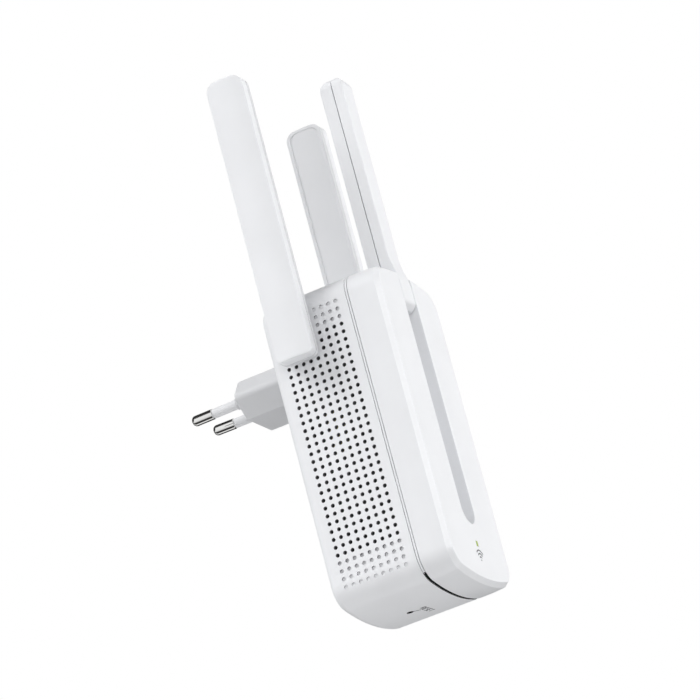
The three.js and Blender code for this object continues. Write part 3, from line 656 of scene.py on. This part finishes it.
def hole_pins(side):
    """Round pins for every perforation of one side, as one mesh of separate solids."""
    bm = bmesh.new()
    for row in HOLE_ROWS:
        z = HOLE_ROW_Z - HOLE_PITCH * row
        surface = casing_side_x(z)
        past = max(OPEN_ROWS.start - row, row - (OPEN_ROWS.stop - 1))
        depth = WALL + PAST if past <= 0 else DIMPLE_DEEP - DIMPLE_STEP * (past - 1)
        for column in range(HOLE_COLUMNS):
            if column < HUB_COLUMNS and row <= HUB_LAST_ROW:
                continue
            y = HOLE_FIRST_Y - HOLE_PITCH * column
            # slot 1 paints shade on the open holes' walls, slot 2 on the dimples' walls
            add_pin(bm, side, surface, depth, y, z, 2 if past > 0 else 1)
    pins = solid(bm, CASING_WHITE)
    pins.data.materials.append(HOLE_WALL_PAINTED_SHADE)
    pins.data.materials.append(DIMPLE_WALL_PAINTED_SHADE)
    return pins


def add_pin(bm, side, surface, depth, y, z, wall_shade_slot, sides=20):
    """Adds one pin: a wider mouth, then a bore whose wall has a material of its own, a darker grey that
    paints shade into the hole.
    """
    profile = [
        (surface + 0.6 * MM, HOLE_R + HOLE_MOUTH), (surface, HOLE_R + HOLE_MOUTH),
        (surface - HOLE_MOUTH, HOLE_R), (surface - depth, HOLE_R),
    ]
    angles = [2 * math.pi * i / sides for i in range(sides)]
    rings = [
        [(side * x, y + radius * math.cos(angle), z + radius * math.sin(angle)) for angle in angles]
        for x, radius in profile
    ]
    for face in add_skin(bm, rings)[-sides:]:
        face.material_index = wall_shade_slot


def hexagon_ring(y, inset):
    """The plug's flat hexagonal outline, moved inwards."""
    w, h, flat = PLUG_HALF_W - inset, PLUG_HALF_H - inset, PLUG_FLAT - 0.45 * inset
    loop = [(w, 0), (flat, h), (-flat, h), (-w, 0), (-flat, -h), (flat, -h)]
    radii = [PLUG_SIDE_R, PLUG_CORNER_R, PLUG_CORNER_R] * 2
    return [(x, y, z) for x, z in fillet(loop, [radius - 0.2 * inset for radius in radii], 6)]


def at_screws(radius, start_y, end_y):
    """A round bar at each of the board's four screws, in the near-black painted shade of the casing's inside.
    """
    return [
        rod(start_y, end_y, radius, "y", (side * BOSS_X, 0, z), PAINTED_SHADE_INSIDE, 24)
        for side in (-1, 1) for z in BOSS_Z
    ]


def hub_bore(side, start, end, material):
    return rod(side * start, side * end, HUB_BORE_R, "x", SIDE_AXIS, material, 64)


def make_rear_casing():
    casing = cut(rear_casing_blank(), rear_casing_hollow())
    join(casing, seam_tongue(), *at_screws(BOSS_R, BOSS_FRONT_Y, REAR_Y - WALL + 0.5 * MM))
    cut(casing, rim_shadow_groove(), *at_screws(SCREW_HOLE_R, BOSS_FRONT_Y - 2 * MM, REAR_Y - WALL - 4 * MM))
    cut(casing, hole_pins(-1), hole_pins(1))
    for side in (-1, 1):
        cut(casing, hub_bore(side, HALF_W - 5 * MM, HALF_W + PAST, CASING_WHITE))
    mouth = OPENING_GAP + OPENING_MOUTH
    opening = [(REAR_Y + PAST, -mouth), (REAR_Y, -mouth), (REAR_Y - OPENING_MOUTH, -OPENING_GAP),
               (REAR_Y - WALL - PAST, -OPENING_GAP)]
    cut(casing, loft([hexagon_ring(y, inset) for y, inset in opening], CASING_WHITE))
    mouth_r = RESET_HOLE_R + RESET_HOLE_MOUTH
    pinhole = [(BOTTOM_Z - PAST, mouth_r), (BOTTOM_Z, mouth_r), (BOTTOM_Z + RESET_HOLE_MOUTH, RESET_HOLE_R),
               (BOTTOM_Z + 4 * MM, RESET_HOLE_R)]
    # the reset hole's wall takes the near-black painted shade
    cut(casing, turned(pinhole, "z", (0, RESET_Y, 0), PAINTED_SHADE_INSIDE, 32))
    place(casing, "rear_casing_moulding", "casing", ["rear_casing"])


def groove_rings(profile, top_z, steps=24):
    """Rings of the groove's outline, square at the top: (position, how much wider) points."""
    rings = []
    end_z = GROOVE_END_Z + GROOVE_HALF_W
    for y, extra in profile:
        half = GROOVE_HALF_W + extra
        loop = [(half, y, top_z), (-half, y, top_z)]
        for i in range(steps + 1):
            angle = math.pi + math.pi * i / steps
            loop.append((half * math.cos(angle), y, end_z + half * math.sin(angle)))
        rings.append(loop)
    return rings


def groove_tool(floor_y, top_z):
    profile = [(FRONT_Y - PAST, GROOVE_MOUTH_R)]
    profile += quarter((FRONT_Y, GROOVE_MOUTH_R), (FRONT_Y + GROOVE_MOUTH_R, 0), False, 4)
    profile += quarter((floor_y - GROOVE_FLOOR_R, 0), (floor_y, -GROOVE_FLOOR_R), True, 5)
    return loft(groove_rings(profile, top_z), COVER_WHITE)


def hinge_bore(material):
    return rod(-HINGE_BORE_HALF_L, HINGE_BORE_HALF_L, HINGE_BORE_R, "x", FRONT_AXIS, material, 32)


def cover_outside():
    """Profile of the cover: its rim, a side that leans in, and the bevel round its face."""
    shoulder = (FRONT_Y + BEVEL_START, COVER_LEAN)
    profile = quarter((COVER_RIM_Y, RIM_R), (COVER_RIM_Y - RIM_R, 0), False, 3)
    lean_steps = 6
    for i in range(lean_steps):
        t = i / lean_steps
        profile.append((LEAN_START_Y + (shoulder[0] - LEAN_START_Y) * t, COVER_LEAN * t * t))
    path = [profile[-1], shoulder, (FRONT_Y, BEVEL_INSET), (FRONT_Y, HALF_W)]
    return profile + fillet(path, [0, BEVEL_EDGE_R, BEVEL_EDGE_R, 0], 3, False)[1:-1]


def groove_channel():
    """The wall round the groove, inside the cover."""
    walls = [(GROOVE_FLOOR_Y + GROOVE_WALL, GROOVE_WALL), (FRONT_Y + 1 * MM, GROOVE_WALL)]
    channel = loft(groove_rings(walls, ABOVE_TOP_Z), COVER_WHITE)
    inside = [(GROOVE_FLOOR_Y + 3 * MM, WALL - 0.2 * MM), (FRONT_Y, WALL - 0.2 * MM)]
    keep_common(channel, loft(casing_rings(inside), COVER_WHITE))
    behind_rim = block((-HALF_W, COVER_RIM_Y, CHANNEL_BACK_Z), (HALF_W, REAR_Y, ABOVE_TOP_Z), COVER_WHITE)
    return cut(channel, behind_rim)


def make_front_cover():
    step = TONGUE_INSET - TONGUE_GAP
    step_y = COVER_RIM_Y - TONGUE_REACH
    hollow = [(COVER_RIM_Y + PAST, step), (step_y, step), (step_y, WALL), (FRONT_Y + WALL + 1 * MM, WALL),
              (FRONT_Y + WALL, WALL + 1 * MM)]
    cover = cut(loft(casing_rings(cover_outside()), COVER_WHITE), loft(casing_rings(hollow), COVER_WHITE))
    join(cover, groove_channel())
    cut(cover, groove_tool(GROOVE_LIP_Y, ABOVE_TOP_Z), groove_tool(GROOVE_FLOOR_Y, GROOVE_LIP_Z))
    half_w, half_h = WINDOW_HALF_W + WINDOW_GAP, WINDOW_HALF_H + WINDOW_GAP
    window = block(
        (-half_w, FRONT_Y - PAST, WINDOW_Z - half_h),
        (half_w, FRONT_Y + WALL + PAST, WINDOW_Z + half_h), COVER_WHITE,
    )
    cut(cover, hinge_bore(COVER_WHITE), window)
    place(cover, "front_cover_moulding", "casing", ["front_cover"])


def make_light_pipe():
    material = lit_window("lit_window")
    pipe = block(
        (-WINDOW_HALF_W, WINDOW_LOW.y - WINDOW_PROUD, WINDOW_Z - WINDOW_HALF_H),
        (WINDOW_HALF_W, WINDOW_HIGH.y, WINDOW_Z + WINDOW_HALF_H), material, WINDOW_EDGE_R,
    )
    flange = block(
        (WINDOW_LOW.x, FRONT_Y + WALL + 0.4 * MM, WINDOW_LOW.z),
        (WINDOW_HIGH.x, FRONT_Y + WALL + 1.6 * MM, WINDOW_HIGH.z), material, WINDOW_EDGE_R,
    )
    place(join(pipe, flange), "status_light_pipe", "casing", ["light_pipe"])


# ---- plug ----
def make_plug_housing():
    body = [(PLUG_LOW.y, 0), (REAR_Y, 0)] + quarter((-PLUG_FACE_R, 0), (0, PLUG_FACE_R), True, 4)
    housing = loft([hexagon_ring(y, inset) for y, inset in body], PLUG_PAINTED_SHADE)
    join(housing, block(
        (PLUG_LOW.x, PLUG_LOW.y, -FLANGE_HALF_H), (PLUG_HIGH.x, PLUG_LOW.y + FLANGE_THICK, FLANGE_HALF_H),
        PLUG_PAINTED_SHADE, FLANGE_EDGE_R,
    ))
    for side in (-1, 1):
        centre = (side * PIN_ROOT_X, 0, 0)
        # the collar flares where it meets the plug's face
        collar = [(-2 * MM, COLLAR_R + 0.9 * MM), (0, COLLAR_R + 0.5 * MM), (0.2 * MM, COLLAR_R + 0.15 * MM),
                  (0.5 * MM, COLLAR_R)]
        collar += quarter((COLLAR_L - COLLAR_EDGE_R, COLLAR_R), (COLLAR_L, COLLAR_R - COLLAR_EDGE_R), True, 4)
        join(housing, turned(collar, "y", centre, PLUG_PAINTED_SHADE))
        seat_r = SLEEVE_R + SLEEVE_FIT
        cut(housing, rod(-1.5 * MM - GAP, COLLAR_L + PAST, seat_r, "y", centre, PLUG_PAINTED_SHADE, 48))
        cut(housing, rod(PLUG_LOW.y - PAST, 1 * MM, PIN_CORE_R + GAP, "y", centre, PLUG_PAINTED_SHADE, 32))
    place(housing, "plug_body", "casing", ["plug_housing"])


def make_pin(name, side):
    """A nickel pin and its grey sleeve, leaning in a little towards the tip."""
    lean = Matrix.Rotation(side * math.atan2(PIN_ROOT_X - PIN_TIP_X, PIN_HIGH.y), 3, "Z")
    centre = (side * PIN_ROOT_X, 0, 0)
    sleeve_end = SLEEVE_HIGH.y
    start, end = sleeve_end + 0.05 * MM, PIN_HIGH.y
    blade = [(0, PIN_CORE_R), (start, PIN_CORE_R), (start, PIN_R - PIN_EDGE_R), (start + PIN_EDGE_R, PIN_R)]
    blade += [(start + (end - start) * 0.4, PIN_R)]
    blade += quarter((end - PIN_TIP_L, PIN_R), (end, 0.25 * MM), True, 10)
    pin = turned(blade, "y", centre, PIN_NICKEL, 64, turn=lean)
    join(pin, rod(PIN_LOW.y, 0.5 * MM, PIN_CORE_R, "y", centre, PIN_NICKEL, 64))
    place(pin, f"nickel_pin_{name}", "casing", [f"plug_pin_{name}"])

    bore = PIN_CORE_R + 0.1 * MM
    sleeve = [(SLEEVE_LOW.y, bore), (SLEEVE_LOW.y, SLEEVE_R), (sleeve_end * 0.6, SLEEVE_R)]
    sleeve += quarter((sleeve_end - SLEEVE_EDGE_R, SLEEVE_R), (sleeve_end, SLEEVE_R - SLEEVE_EDGE_R), True, 3)
    sleeve += [(sleeve_end, bore)]
    cover = turned(sleeve, "y", centre, SLEEVE_GREY, 64, closed=True, turn=lean)
    place(cover, f"insulating_sleeve_{name}", "casing", [f"pin_sleeve_{name}"])


# ---- side antennas ----
def paddle_stations(steps=8):
    """(height, half width, how far the face draws in) up a paddle with rounded corners and ends."""
    stations = []
    for end_z, radius, inwards in ((SHELL_LOW.z, SIDE_LOW_R, 1), (SHELL_HIGH.z, SIDE_TOP_R, -1)):
        corner = []
        for i in range(steps + 1):
            angle = math.pi / 2 * i / steps
            half = SIDE_HALF_W - radius * (1 - math.cos(angle))
            draw = SIDE_END_DRAW * (1 - math.cos(math.pi / 2 * max(0, 2 * i / steps - 1)))
            corner.append((end_z + inwards * radius * (1 - math.sin(angle)), half, draw))
        stations += corner[::-inwards]
    return stations


def crowned_section(half_width, draw, steps=14):
    """Section of the outer shell in X-Y: flat at the seam, a crowned face outside."""
    radius = (SIDE_HALF_W ** 2 + SIDE_CROWN ** 2) / (2 * SIDE_CROWN)
    face = []
    for i in range(steps + 1):
        y = half_width * (1 - 2 * i / steps)
        face.append((SHELL_HIGH.x - draw - radius + math.sqrt(radius ** 2 - y ** 2), y))
    loop = [(SHELL_LOW.x, -half_width), (SHELL_LOW.x, half_width)] + face
    return fillet(loop, [SEAM_EDGE_R, SEAM_EDGE_R, SIDE_EDGE_R] + [0] * (len(face) - 2) + [SIDE_EDGE_R])


def upright(side, x, outline):
    """A ring in a side antenna: an outline of (y, z) points, at a distance from the middle."""
    return [(side * x, SIDE_PIVOT.y + y, z) for y, z in outline]


def paddle_outline(inset, radius_share=1.0):
    less = inset * radius_share
    return rounded_rectangle(
        SIDE_HALF_W - inset, SHELL_LOW.z + inset, SHELL_HIGH.z - inset, SIDE_TOP_R - less, SIDE_LOW_R - less)


def make_outer_shell(name, side, body):
    rings = []
    for z, half, draw in paddle_stations():
        rings.append([(side * x, SIDE_PIVOT.y + y, z) for x, y in crowned_section(half, draw)])
    outer = loft(rings, ANTENNA_WHITE)
    low, high = SHELL_LOW.z + SIDE_WALL, SHELL_HIGH.z - SIDE_WALL
    hollow = rounded_rectangle(SIDE_HALF_W - SIDE_WALL, low, high, 2.5 * MM, 1.2 * MM)
    depths = (SHELL_LOW.x - PAST, SHELL_HIGH.x - SIDE_CROWN - SIDE_FACE_WALL)
    cut(outer, loft([upright(side, x, hollow) for x in depths], ANTENNA_INNER_PAINTED_SHADE))
    place(outer, f"{name}_paddle_outer", body, [f"{name}_outer_shell"])


def make_inner_shell(name, side, body):
    face_x, seam_x = INNER_LOW.x, INNER_HIGH.x
    profile = quarter((face_x, INNER_EDGE_R), (face_x + INNER_EDGE_R, 0), False, 4)
    profile += quarter((seam_x - SEAM_EDGE_R, 0), (seam_x, SEAM_EDGE_R), True, 3)
    inner = loft([upright(side, x, paddle_outline(inset)) for x, inset in profile], ANTENNA_INNER_PAINTED_SHADE)
    recess = [(face_x - PAST, -RECESS_CHAMFER), (face_x, -RECESS_CHAMFER), (face_x + RECESS_CHAMFER, 0),
              (face_x + RECESS_DEPTH, 0.05 * MM)]
    rings = [upright(side, x, paddle_outline(inset + RECESS_INSET, RECESS_ROUNDING)) for x, inset in recess]
    recess_tool = loft(rings, ANTENNA_INNER_PAINTED_SHADE)
    half_panel = SIDE_HALF_W - RECESS_INSET
    crown_r = (half_panel ** 2 + RECESS_CROWN ** 2) / (2 * RECESS_CROWN)
    centre = (side * (face_x + RECESS_DEPTH - RECESS_CROWN + crown_r), SIDE_PIVOT.y, 0)
    cut(recess_tool, rod(SHELL_LOW.z - PAST, SHELL_HIGH.z + PAST, crown_r, "z", centre, ANTENNA_INNER_PAINTED_SHADE, 720))
    cut(inner, recess_tool, hub_bore(side, face_x - 2 * MM, seam_x + 2 * MM, ANTENNA_INNER_PAINTED_SHADE))
    place(inner, f"{name}_paddle_inner", body, [f"{name}_inner_shell"])


def make_hub(name, side, body):
    """Hollow hub: a flange inside the paddle, a collar against the casing, a grooved tail inside."""
    inner_r, groove_r, tube_r = 1.4 * MM, 3.9 * MM, 4.5 * MM
    collar_r, flange_r = 6.2 * MM, 5.4 * MM
    start, end = HUB_LOW.x, HUB_HIGH.x
    groove, groove_end = HALF_W - 3.6 * MM, HALF_W - 2.3 * MM
    collar, collar_end = HALF_W + GAP, INNER_LOW.x - GAP
    flange = INNER_HIGH.x + GAP
    soft = 0.25 * MM
    profile = [(start, inner_r), (start, tube_r - soft), (start + soft, tube_r), (groove, tube_r),
               (groove, groove_r), (groove_end, groove_r), (groove_end, tube_r), (collar, tube_r),
               (collar, collar_r - soft), (collar + soft, collar_r), (collar_end - soft, collar_r),
               (collar_end, collar_r - soft), (collar_end, tube_r), (flange, tube_r), (flange, flange_r),
               (end, flange_r), (end, inner_r)]
    mirrored = [(side * x, radius) for x, radius in profile]
    hub = turned(mirrored, "x", SIDE_AXIS, HUB_WHITE, 64, closed=True)
    place(hub, f"{name}_pivot_hub", body, [f"{name}_hub"])


# ---- front antenna ----
def front_reach(height):
    """How far the antenna reaches in front of and behind its pivot, at a height above it."""
    fore = back = FRONT_BACK
    if height > NECK_LOW:
        t = min((height - NECK_LOW) / (NECK_HIGH - NECK_LOW), 1)
        fore -= (FRONT_BACK - FRONT_FORE) * (1 - math.cos(math.pi * t)) / 2
    if height < 0:
        swept = math.sqrt(max(FRONT_FOOT_R ** 2 - height ** 2, 0))
        fore, back = min(fore, swept), min(back, swept)
    below_top = max(FRONT_TOP - height, 0)
    fore -= (fore - FRONT_TOP_FORE) * (1 - rounding(below_top / FRONT_TOP_CORNER_R))
    back -= (back - FRONT_TOP_BACK) * (1 - rounding(below_top / FRONT_TOP_BACK_R))
    return fore, back


def rounding(share):
    """Quarter-circle rise from 0 at the tip to 1 where the rounding ends."""
    return math.sqrt(1 - (1 - min(share, 1)) ** 2)


def front_half_width(height):
    into_corner = height - (FRONT_TOP - FRONT_TOP_CORNER_R)
    if into_corner <= 0:
        return FRONT_HALF_W
    across = math.sqrt(max(FRONT_TOP_CORNER_R ** 2 - into_corner ** 2, 0))
    return FRONT_HALF_W - FRONT_TOP_CORNER_R + across


def front_heights():
    """Heights of the sections above the pivot, closer together where the shape bends."""
    foot = [FRONT_BOTTOM * math.cos(math.pi / 2 * i / 8) for i in range(8)]
    neck = [NECK_LOW + (NECK_HIGH - NECK_LOW) * i / 14 for i in range(15)]
    cap = [FRONT_TOP - FRONT_TOP_BACK_R * math.cos(math.pi / 2 * i / 28) for i in range(29)]
    return foot + [0] + neck + [FRONT_TOP / 2] + cap


def front_shell(is_fore):
    """Rings of one of the front antenna's two shells, from its foot up."""
    seam_y = FRONT_FORE_HIGH.y if is_fore else FRONT_REAR_LOW.y
    rings = []
    for height in front_heights():
        fore, back = front_reach(height)
        half = front_half_width(height)
        face_y = FRONT_PIVOT.y - fore if is_fore else FRONT_PIVOT.y + back
        edge_r = min(FRONT_EDGE_R, abs(face_y - seam_y) * 0.4)
        loop = [(-half, seam_y), (half, seam_y), (half, face_y), (-half, face_y)]
        corners = fillet(loop, [FRONT_SEAM_R, FRONT_SEAM_R, edge_r, edge_r])
        rings.append([(x, y, FRONT_PIVOT.z + height) for x, y in corners])
    return rings


def make_front_antenna():
    room = Vector((RADIATOR_ROOM,) * 3)
    low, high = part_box("front_radiator")
    for is_fore, material, name, slot, node in (
        (True, ANTENNA_WHITE, "front_paddle_fore", "antenna_white", "front_inner_shell"),
        (False, FRONT_REAR_PAINTED_SHADE, "front_paddle_rear", "antenna_inner_white", "front_outer_shell"),
    ):
        shell = loft(front_shell(is_fore), material)
        cut(shell, hinge_bore(material), block(low - room, high + room, material))
        place(shell, name, "front_antenna", [node])
    pin_r = (HINGE_HIGH.z - HINGE_LOW.z) / 2
    soft = 0.3 * MM
    profile = quarter((HINGE_LOW.x, pin_r - soft), (HINGE_LOW.x + soft, pin_r), False, 3)
    profile += quarter((HINGE_HIGH.x - soft, pin_r), (HINGE_HIGH.x, pin_r - soft), True, 3)
    hinge_pin = turned(profile, "x", FRONT_AXIS, STEEL, 40)
    place(hinge_pin, "hinge_pin_steel", "casing", ["front_hinge_pin"])


# ---- reset key and printed marks ----
def make_reset_key():
    shaft, head = 1 * MM, 2 * MM
    head_z = RESET_HIGH.z - 1.4 * MM
    profile = quarter((RESET_LOW.z, shaft - 0.35 * MM), (RESET_LOW.z + 0.35 * MM, shaft), False, 4)
    profile += [(head_z, shaft), (head_z, head - 0.2 * MM), (head_z + 0.2 * MM, head)]
    profile += [(RESET_HIGH.z - 0.2 * MM, head), (RESET_HIGH.z, head - 0.2 * MM)]
    key = turned(profile, "z", (0, RESET_Y, 0), BUTTON_GREY, 40)
    place(key, "reset_key_cap", "reset_key", ["reset_button"])


def ink_lines(paths, width, to_surface):
    """Printed lines: a flat closed ribbon along each 2-D path, laid on a surface."""
    bm = bmesh.new()
    for path in paths:
        rings = []
        for i, point in enumerate(path):
            before, after = Vector(path[max(i - 1, 0)]), Vector(path[min(i + 1, len(path) - 1)])
            across = (after - before).normalized().orthogonal() * width / 2
            left, right = Vector(point) + across, Vector(point) - across
            rings.append([
                to_surface(left, INK_PROUD), to_surface(right, INK_PROUD),
                to_surface(right, -INK_PROUD), to_surface(left, -INK_PROUD),
            ])
        add_skin(bm, rings)
    return solid(bm, INK)


def arc(centre, radius, start, end, steps=12):
    points = []
    for i in range(steps + 1):
        angle = math.radians(start + (end - start) * i / steps)
        points.append((centre[0] + radius * math.cos(angle), centre[1] + radius * math.sin(angle)))
    return points


def on_front(point, out):
    return point[0], FRONT_Y - out, point[1]


def on_underside(point, out):
    drop = END_R - math.sqrt(END_R ** 2 - point[0] ** 2)
    return point[0], point[1], BOTTOM_Z + drop - out


def make_marks():
    """A signal-arcs icon under the light, and the word RESET with its leader line underneath."""
    icon = (0, ICON_Z)
    arcs = [arc(icon, ICON_R * ring / ICON_ARCS, *ICON_SPREAD) for ring in range(1, ICON_ARCS + 1)]
    dot = [(-ICON_DOT, ICON_Z), (ICON_DOT, ICON_Z)]
    leader = [(x, RESET_Y + y) for x, y in LEADER]
    word_y = RESET_Y - WORD_DISTANCE
    word = []
    for i, letter in enumerate("RESET"):
        start_x = WORD_START_X + LETTER_PITCH * i
        for stroke in LETTER_STROKES[letter]:
            word.append([(start_x + LETTER_H * u, word_y - LETTER_H * v) for u, v in stroke])
    for name, paths, width, to_surface in (
        ("signal_icon", [*arcs, dot], ICON_LINE, on_front),
        ("reset_leader", [leader], ICON_LINE, on_underside),
        ("reset_word", word, WORD_LINE, on_underside),
    ):
        place(ink_lines(paths, width, to_surface), name, "casing", [])


# ---- CAD nodes that stay ----
def paint_inner_parts():
    """Gives each CAD node that stays the last finish whose key is in its name, or else the chips'."""
    chip = speckled("chip_black", (0.012, 0.012, 0.013), (0.022, 0.022, 0.024), 2200.0, 0.55)
    finishes = {
        "board": circuit_board("board_green"),
        "header": chip,
        "coax": speckled("coax_jacket", (0.03, 0.03, 0.034), (0.045, 0.045, 0.05), 900.0, 0.5),
        "radiator": metal("radiator_copper", (0.72, 0.40, 0.24), 0.35, (1, 1, 0.1)),
        "clip": STEEL,
        "screw": metal("screw_zinc", (0.62, 0.62, 0.60), 0.28),
        "transformer_core": speckled("ferrite", (0.018, 0.018, 0.02), (0.04, 0.04, 0.042), 1500.0, 0.6),
        "transformer_bobbin": speckled("bobbin_tape", (0.60, 0.38, 0.06), (0.68, 0.46, 0.10), 300.0, 0.35),
        "bulk_capacitor": speckled("capacitor_sleeve", (0.01, 0.012, 0.02), (0.02, 0.022, 0.035), 500.0, 0.3),
        "output_capacitor": speckled(
            "capacitor_sleeve_small", (0.01, 0.014, 0.03), (0.02, 0.026, 0.05), 500.0, 0.3),
        "suppression_capacitor": speckled(
            "film_capacitor", (0.60, 0.46, 0.10), (0.66, 0.52, 0.14), 400.0, 0.3),
        "mains_fuse": speckled("fuse_body", (0.16, 0.06, 0.02), (0.20, 0.08, 0.03), 600.0, 0.35),
        "radio_shield": metal("shield_tin", (0.68, 0.68, 0.66), 0.3),
        "status_led": speckled("led_lens", (0.60, 0.68, 0.40), (0.70, 0.78, 0.50), 700.0, 0.2),
    }
    for name, node in frame["nodes"].items():
        if node.hide_render:
            continue
        fitting = [finish for key, finish in finishes.items() if key in name]
        node.data.materials.clear()
        node.data.materials.append(fitting[-1] if fitting else chip)


# ---- building the room ----
def make_floor():
    """Pale floor, with light and dark strips across it that only mirrors show."""
    bm = bmesh.new()
    bmesh.ops.create_grid(bm, x_segments=8, y_segments=8, size=FLOOR_HALF_SIZE)
    mesh = bpy.data.meshes.new("floor")
    bm.to_mesh(mesh)
    bm.free()
    material, tree, shader = principled("floor_pale", (FLOOR_ALBEDO,) * 3, 0.9)
    pale, paler = (FLOOR_ALBEDO - 0.01,) * 3, (FLOOR_ALBEDO + 0.01,) * 3
    tint(tree, shader, add_noise(tree, 1.5), pale, paler)
    across = add_node(tree, "SeparateXYZ")
    tree.links.new(add_node(tree, "TexCoord").outputs["Object"], across.inputs["Vector"])
    reach = {"From Min": -FLOOR_BAND_REACH, "From Max": FLOOR_BAND_REACH}
    bands = add_ramp(tree, add_range(tree, across.outputs["X"], reach), greys(FLOOR_BANDS))
    mirrored = add_node(tree, "Emission")
    tree.links.new(bands, mirrored.inputs["Color"])
    mixed = mix_by_ray(tree, "Is Glossy Ray", shader.outputs["BSDF"], mirrored.outputs["Emission"])
    tree.links.new(mixed, tree.nodes["Material Output"].inputs["Surface"])
    mesh.materials.append(material)
    floor = bpy.data.objects.new("floor", mesh)
    floor.location = (0, 0, FLOOR_Z)
    bpy.context.scene.collection.objects.link(floor)


def greys(bands):
    return [(position, (value,) * 3) for position, value in bands]


def mix_by_ray(tree, ray, usual, when_that_ray):
    """One shader for rays of a kind, and the usual one for all others."""
    path = add_node(tree, "LightPath")
    mix = add_node(tree, "MixShader")
    tree.links.new(path.outputs[ray], mix.inputs["Fac"])
    tree.links.new(usual, mix.inputs[1])
    tree.links.new(when_that_ray, mix.inputs[2])
    return mix.outputs["Shader"]


def make_sun(name, towards, strength, spread):
    light = bpy.data.lights.new(name, "SUN")
    light.energy = strength
    light.angle = math.radians(spread)
    lamp = bpy.data.objects.new(name, light)
    lamp.rotation_mode = "QUATERNION"
    lamp.rotation_quaternion = Vector(towards).to_track_quat("Z", "Y")
    lamp.visible_glossy = False
    bpy.context.scene.collection.objects.link(lamp)


def make_world():
    """White to the camera and softer as light; mirrors see it in bands, bright to dark."""
    world = bpy.data.worlds.new("studio")
    bpy.context.scene.world = world
    world.use_nodes = True
    tree = world.node_tree
    tree.nodes.clear()
    seen = add_node(tree, "Background", {"Color": (1, 1, 1, 1)})
    soft = add_node(tree, "Background", {"Color": (0.98, 0.99, 1.0, 1), "Strength": SKY_LIGHT})
    along = add_node(tree, "VectorMath", {1: DARK_TOWARDS})
    along.operation = "DOT_PRODUCT"
    tree.links.new(add_node(tree, "TexCoord").outputs["Generated"], along.inputs[0])
    towards_dark = add_range(tree, along.outputs["Value"], {"From Min": -1.0})
    mirrored = add_node(tree, "Background")
    tree.links.new(add_ramp(tree, towards_dark, greys(SKY_BANDS)), mirrored.inputs["Color"])
    light = mix_by_ray(tree, "Is Glossy Ray", soft.outputs["Background"], mirrored.outputs["Background"])
    shown = mix_by_ray(tree, "Is Camera Ray", light, seen.outputs["Background"])
    tree.links.new(shown, add_node(tree, "OutputWorld").inputs["Surface"])


def make_camera():
    data = bpy.data.cameras.new("camera")
    data.lens = CAMERA_LENS
    data.sensor_width = CAMERA_SENSOR
    camera = bpy.data.objects.new("camera", data)
    right, up = Vector(CAMERA_RIGHT).normalized(), Vector(CAMERA_UP).normalized()
    back = right.cross(up)
    turn = Matrix((right, up, back)).transposed().to_4x4()
    camera.matrix_world = Matrix.Translation(CAMERA_AT) @ turn
    bpy.context.scene.collection.objects.link(camera)
    bpy.context.scene.camera = camera


make_camera()
make_floor()
make_world()
for sun_name, (sun_towards, sun_strength, sun_spread) in SUNS.items():
    make_sun(sun_name, sun_towards, sun_strength, sun_spread)
bpy.context.scene.view_settings.view_transform = "Standard"

make_rear_casing()
make_front_cover()
make_light_pipe()
make_plug_housing()
for side_name, which_side in (("left", -1), ("right", 1)):
    make_pin(side_name, which_side)
    make_outer_shell(side_name, which_side, f"{side_name}_antenna")
    make_inner_shell(side_name, which_side, f"{side_name}_antenna")
    make_hub(side_name, which_side, f"{side_name}_antenna")
make_front_antenna()
make_reset_key()
make_marks()
paint_inner_parts()
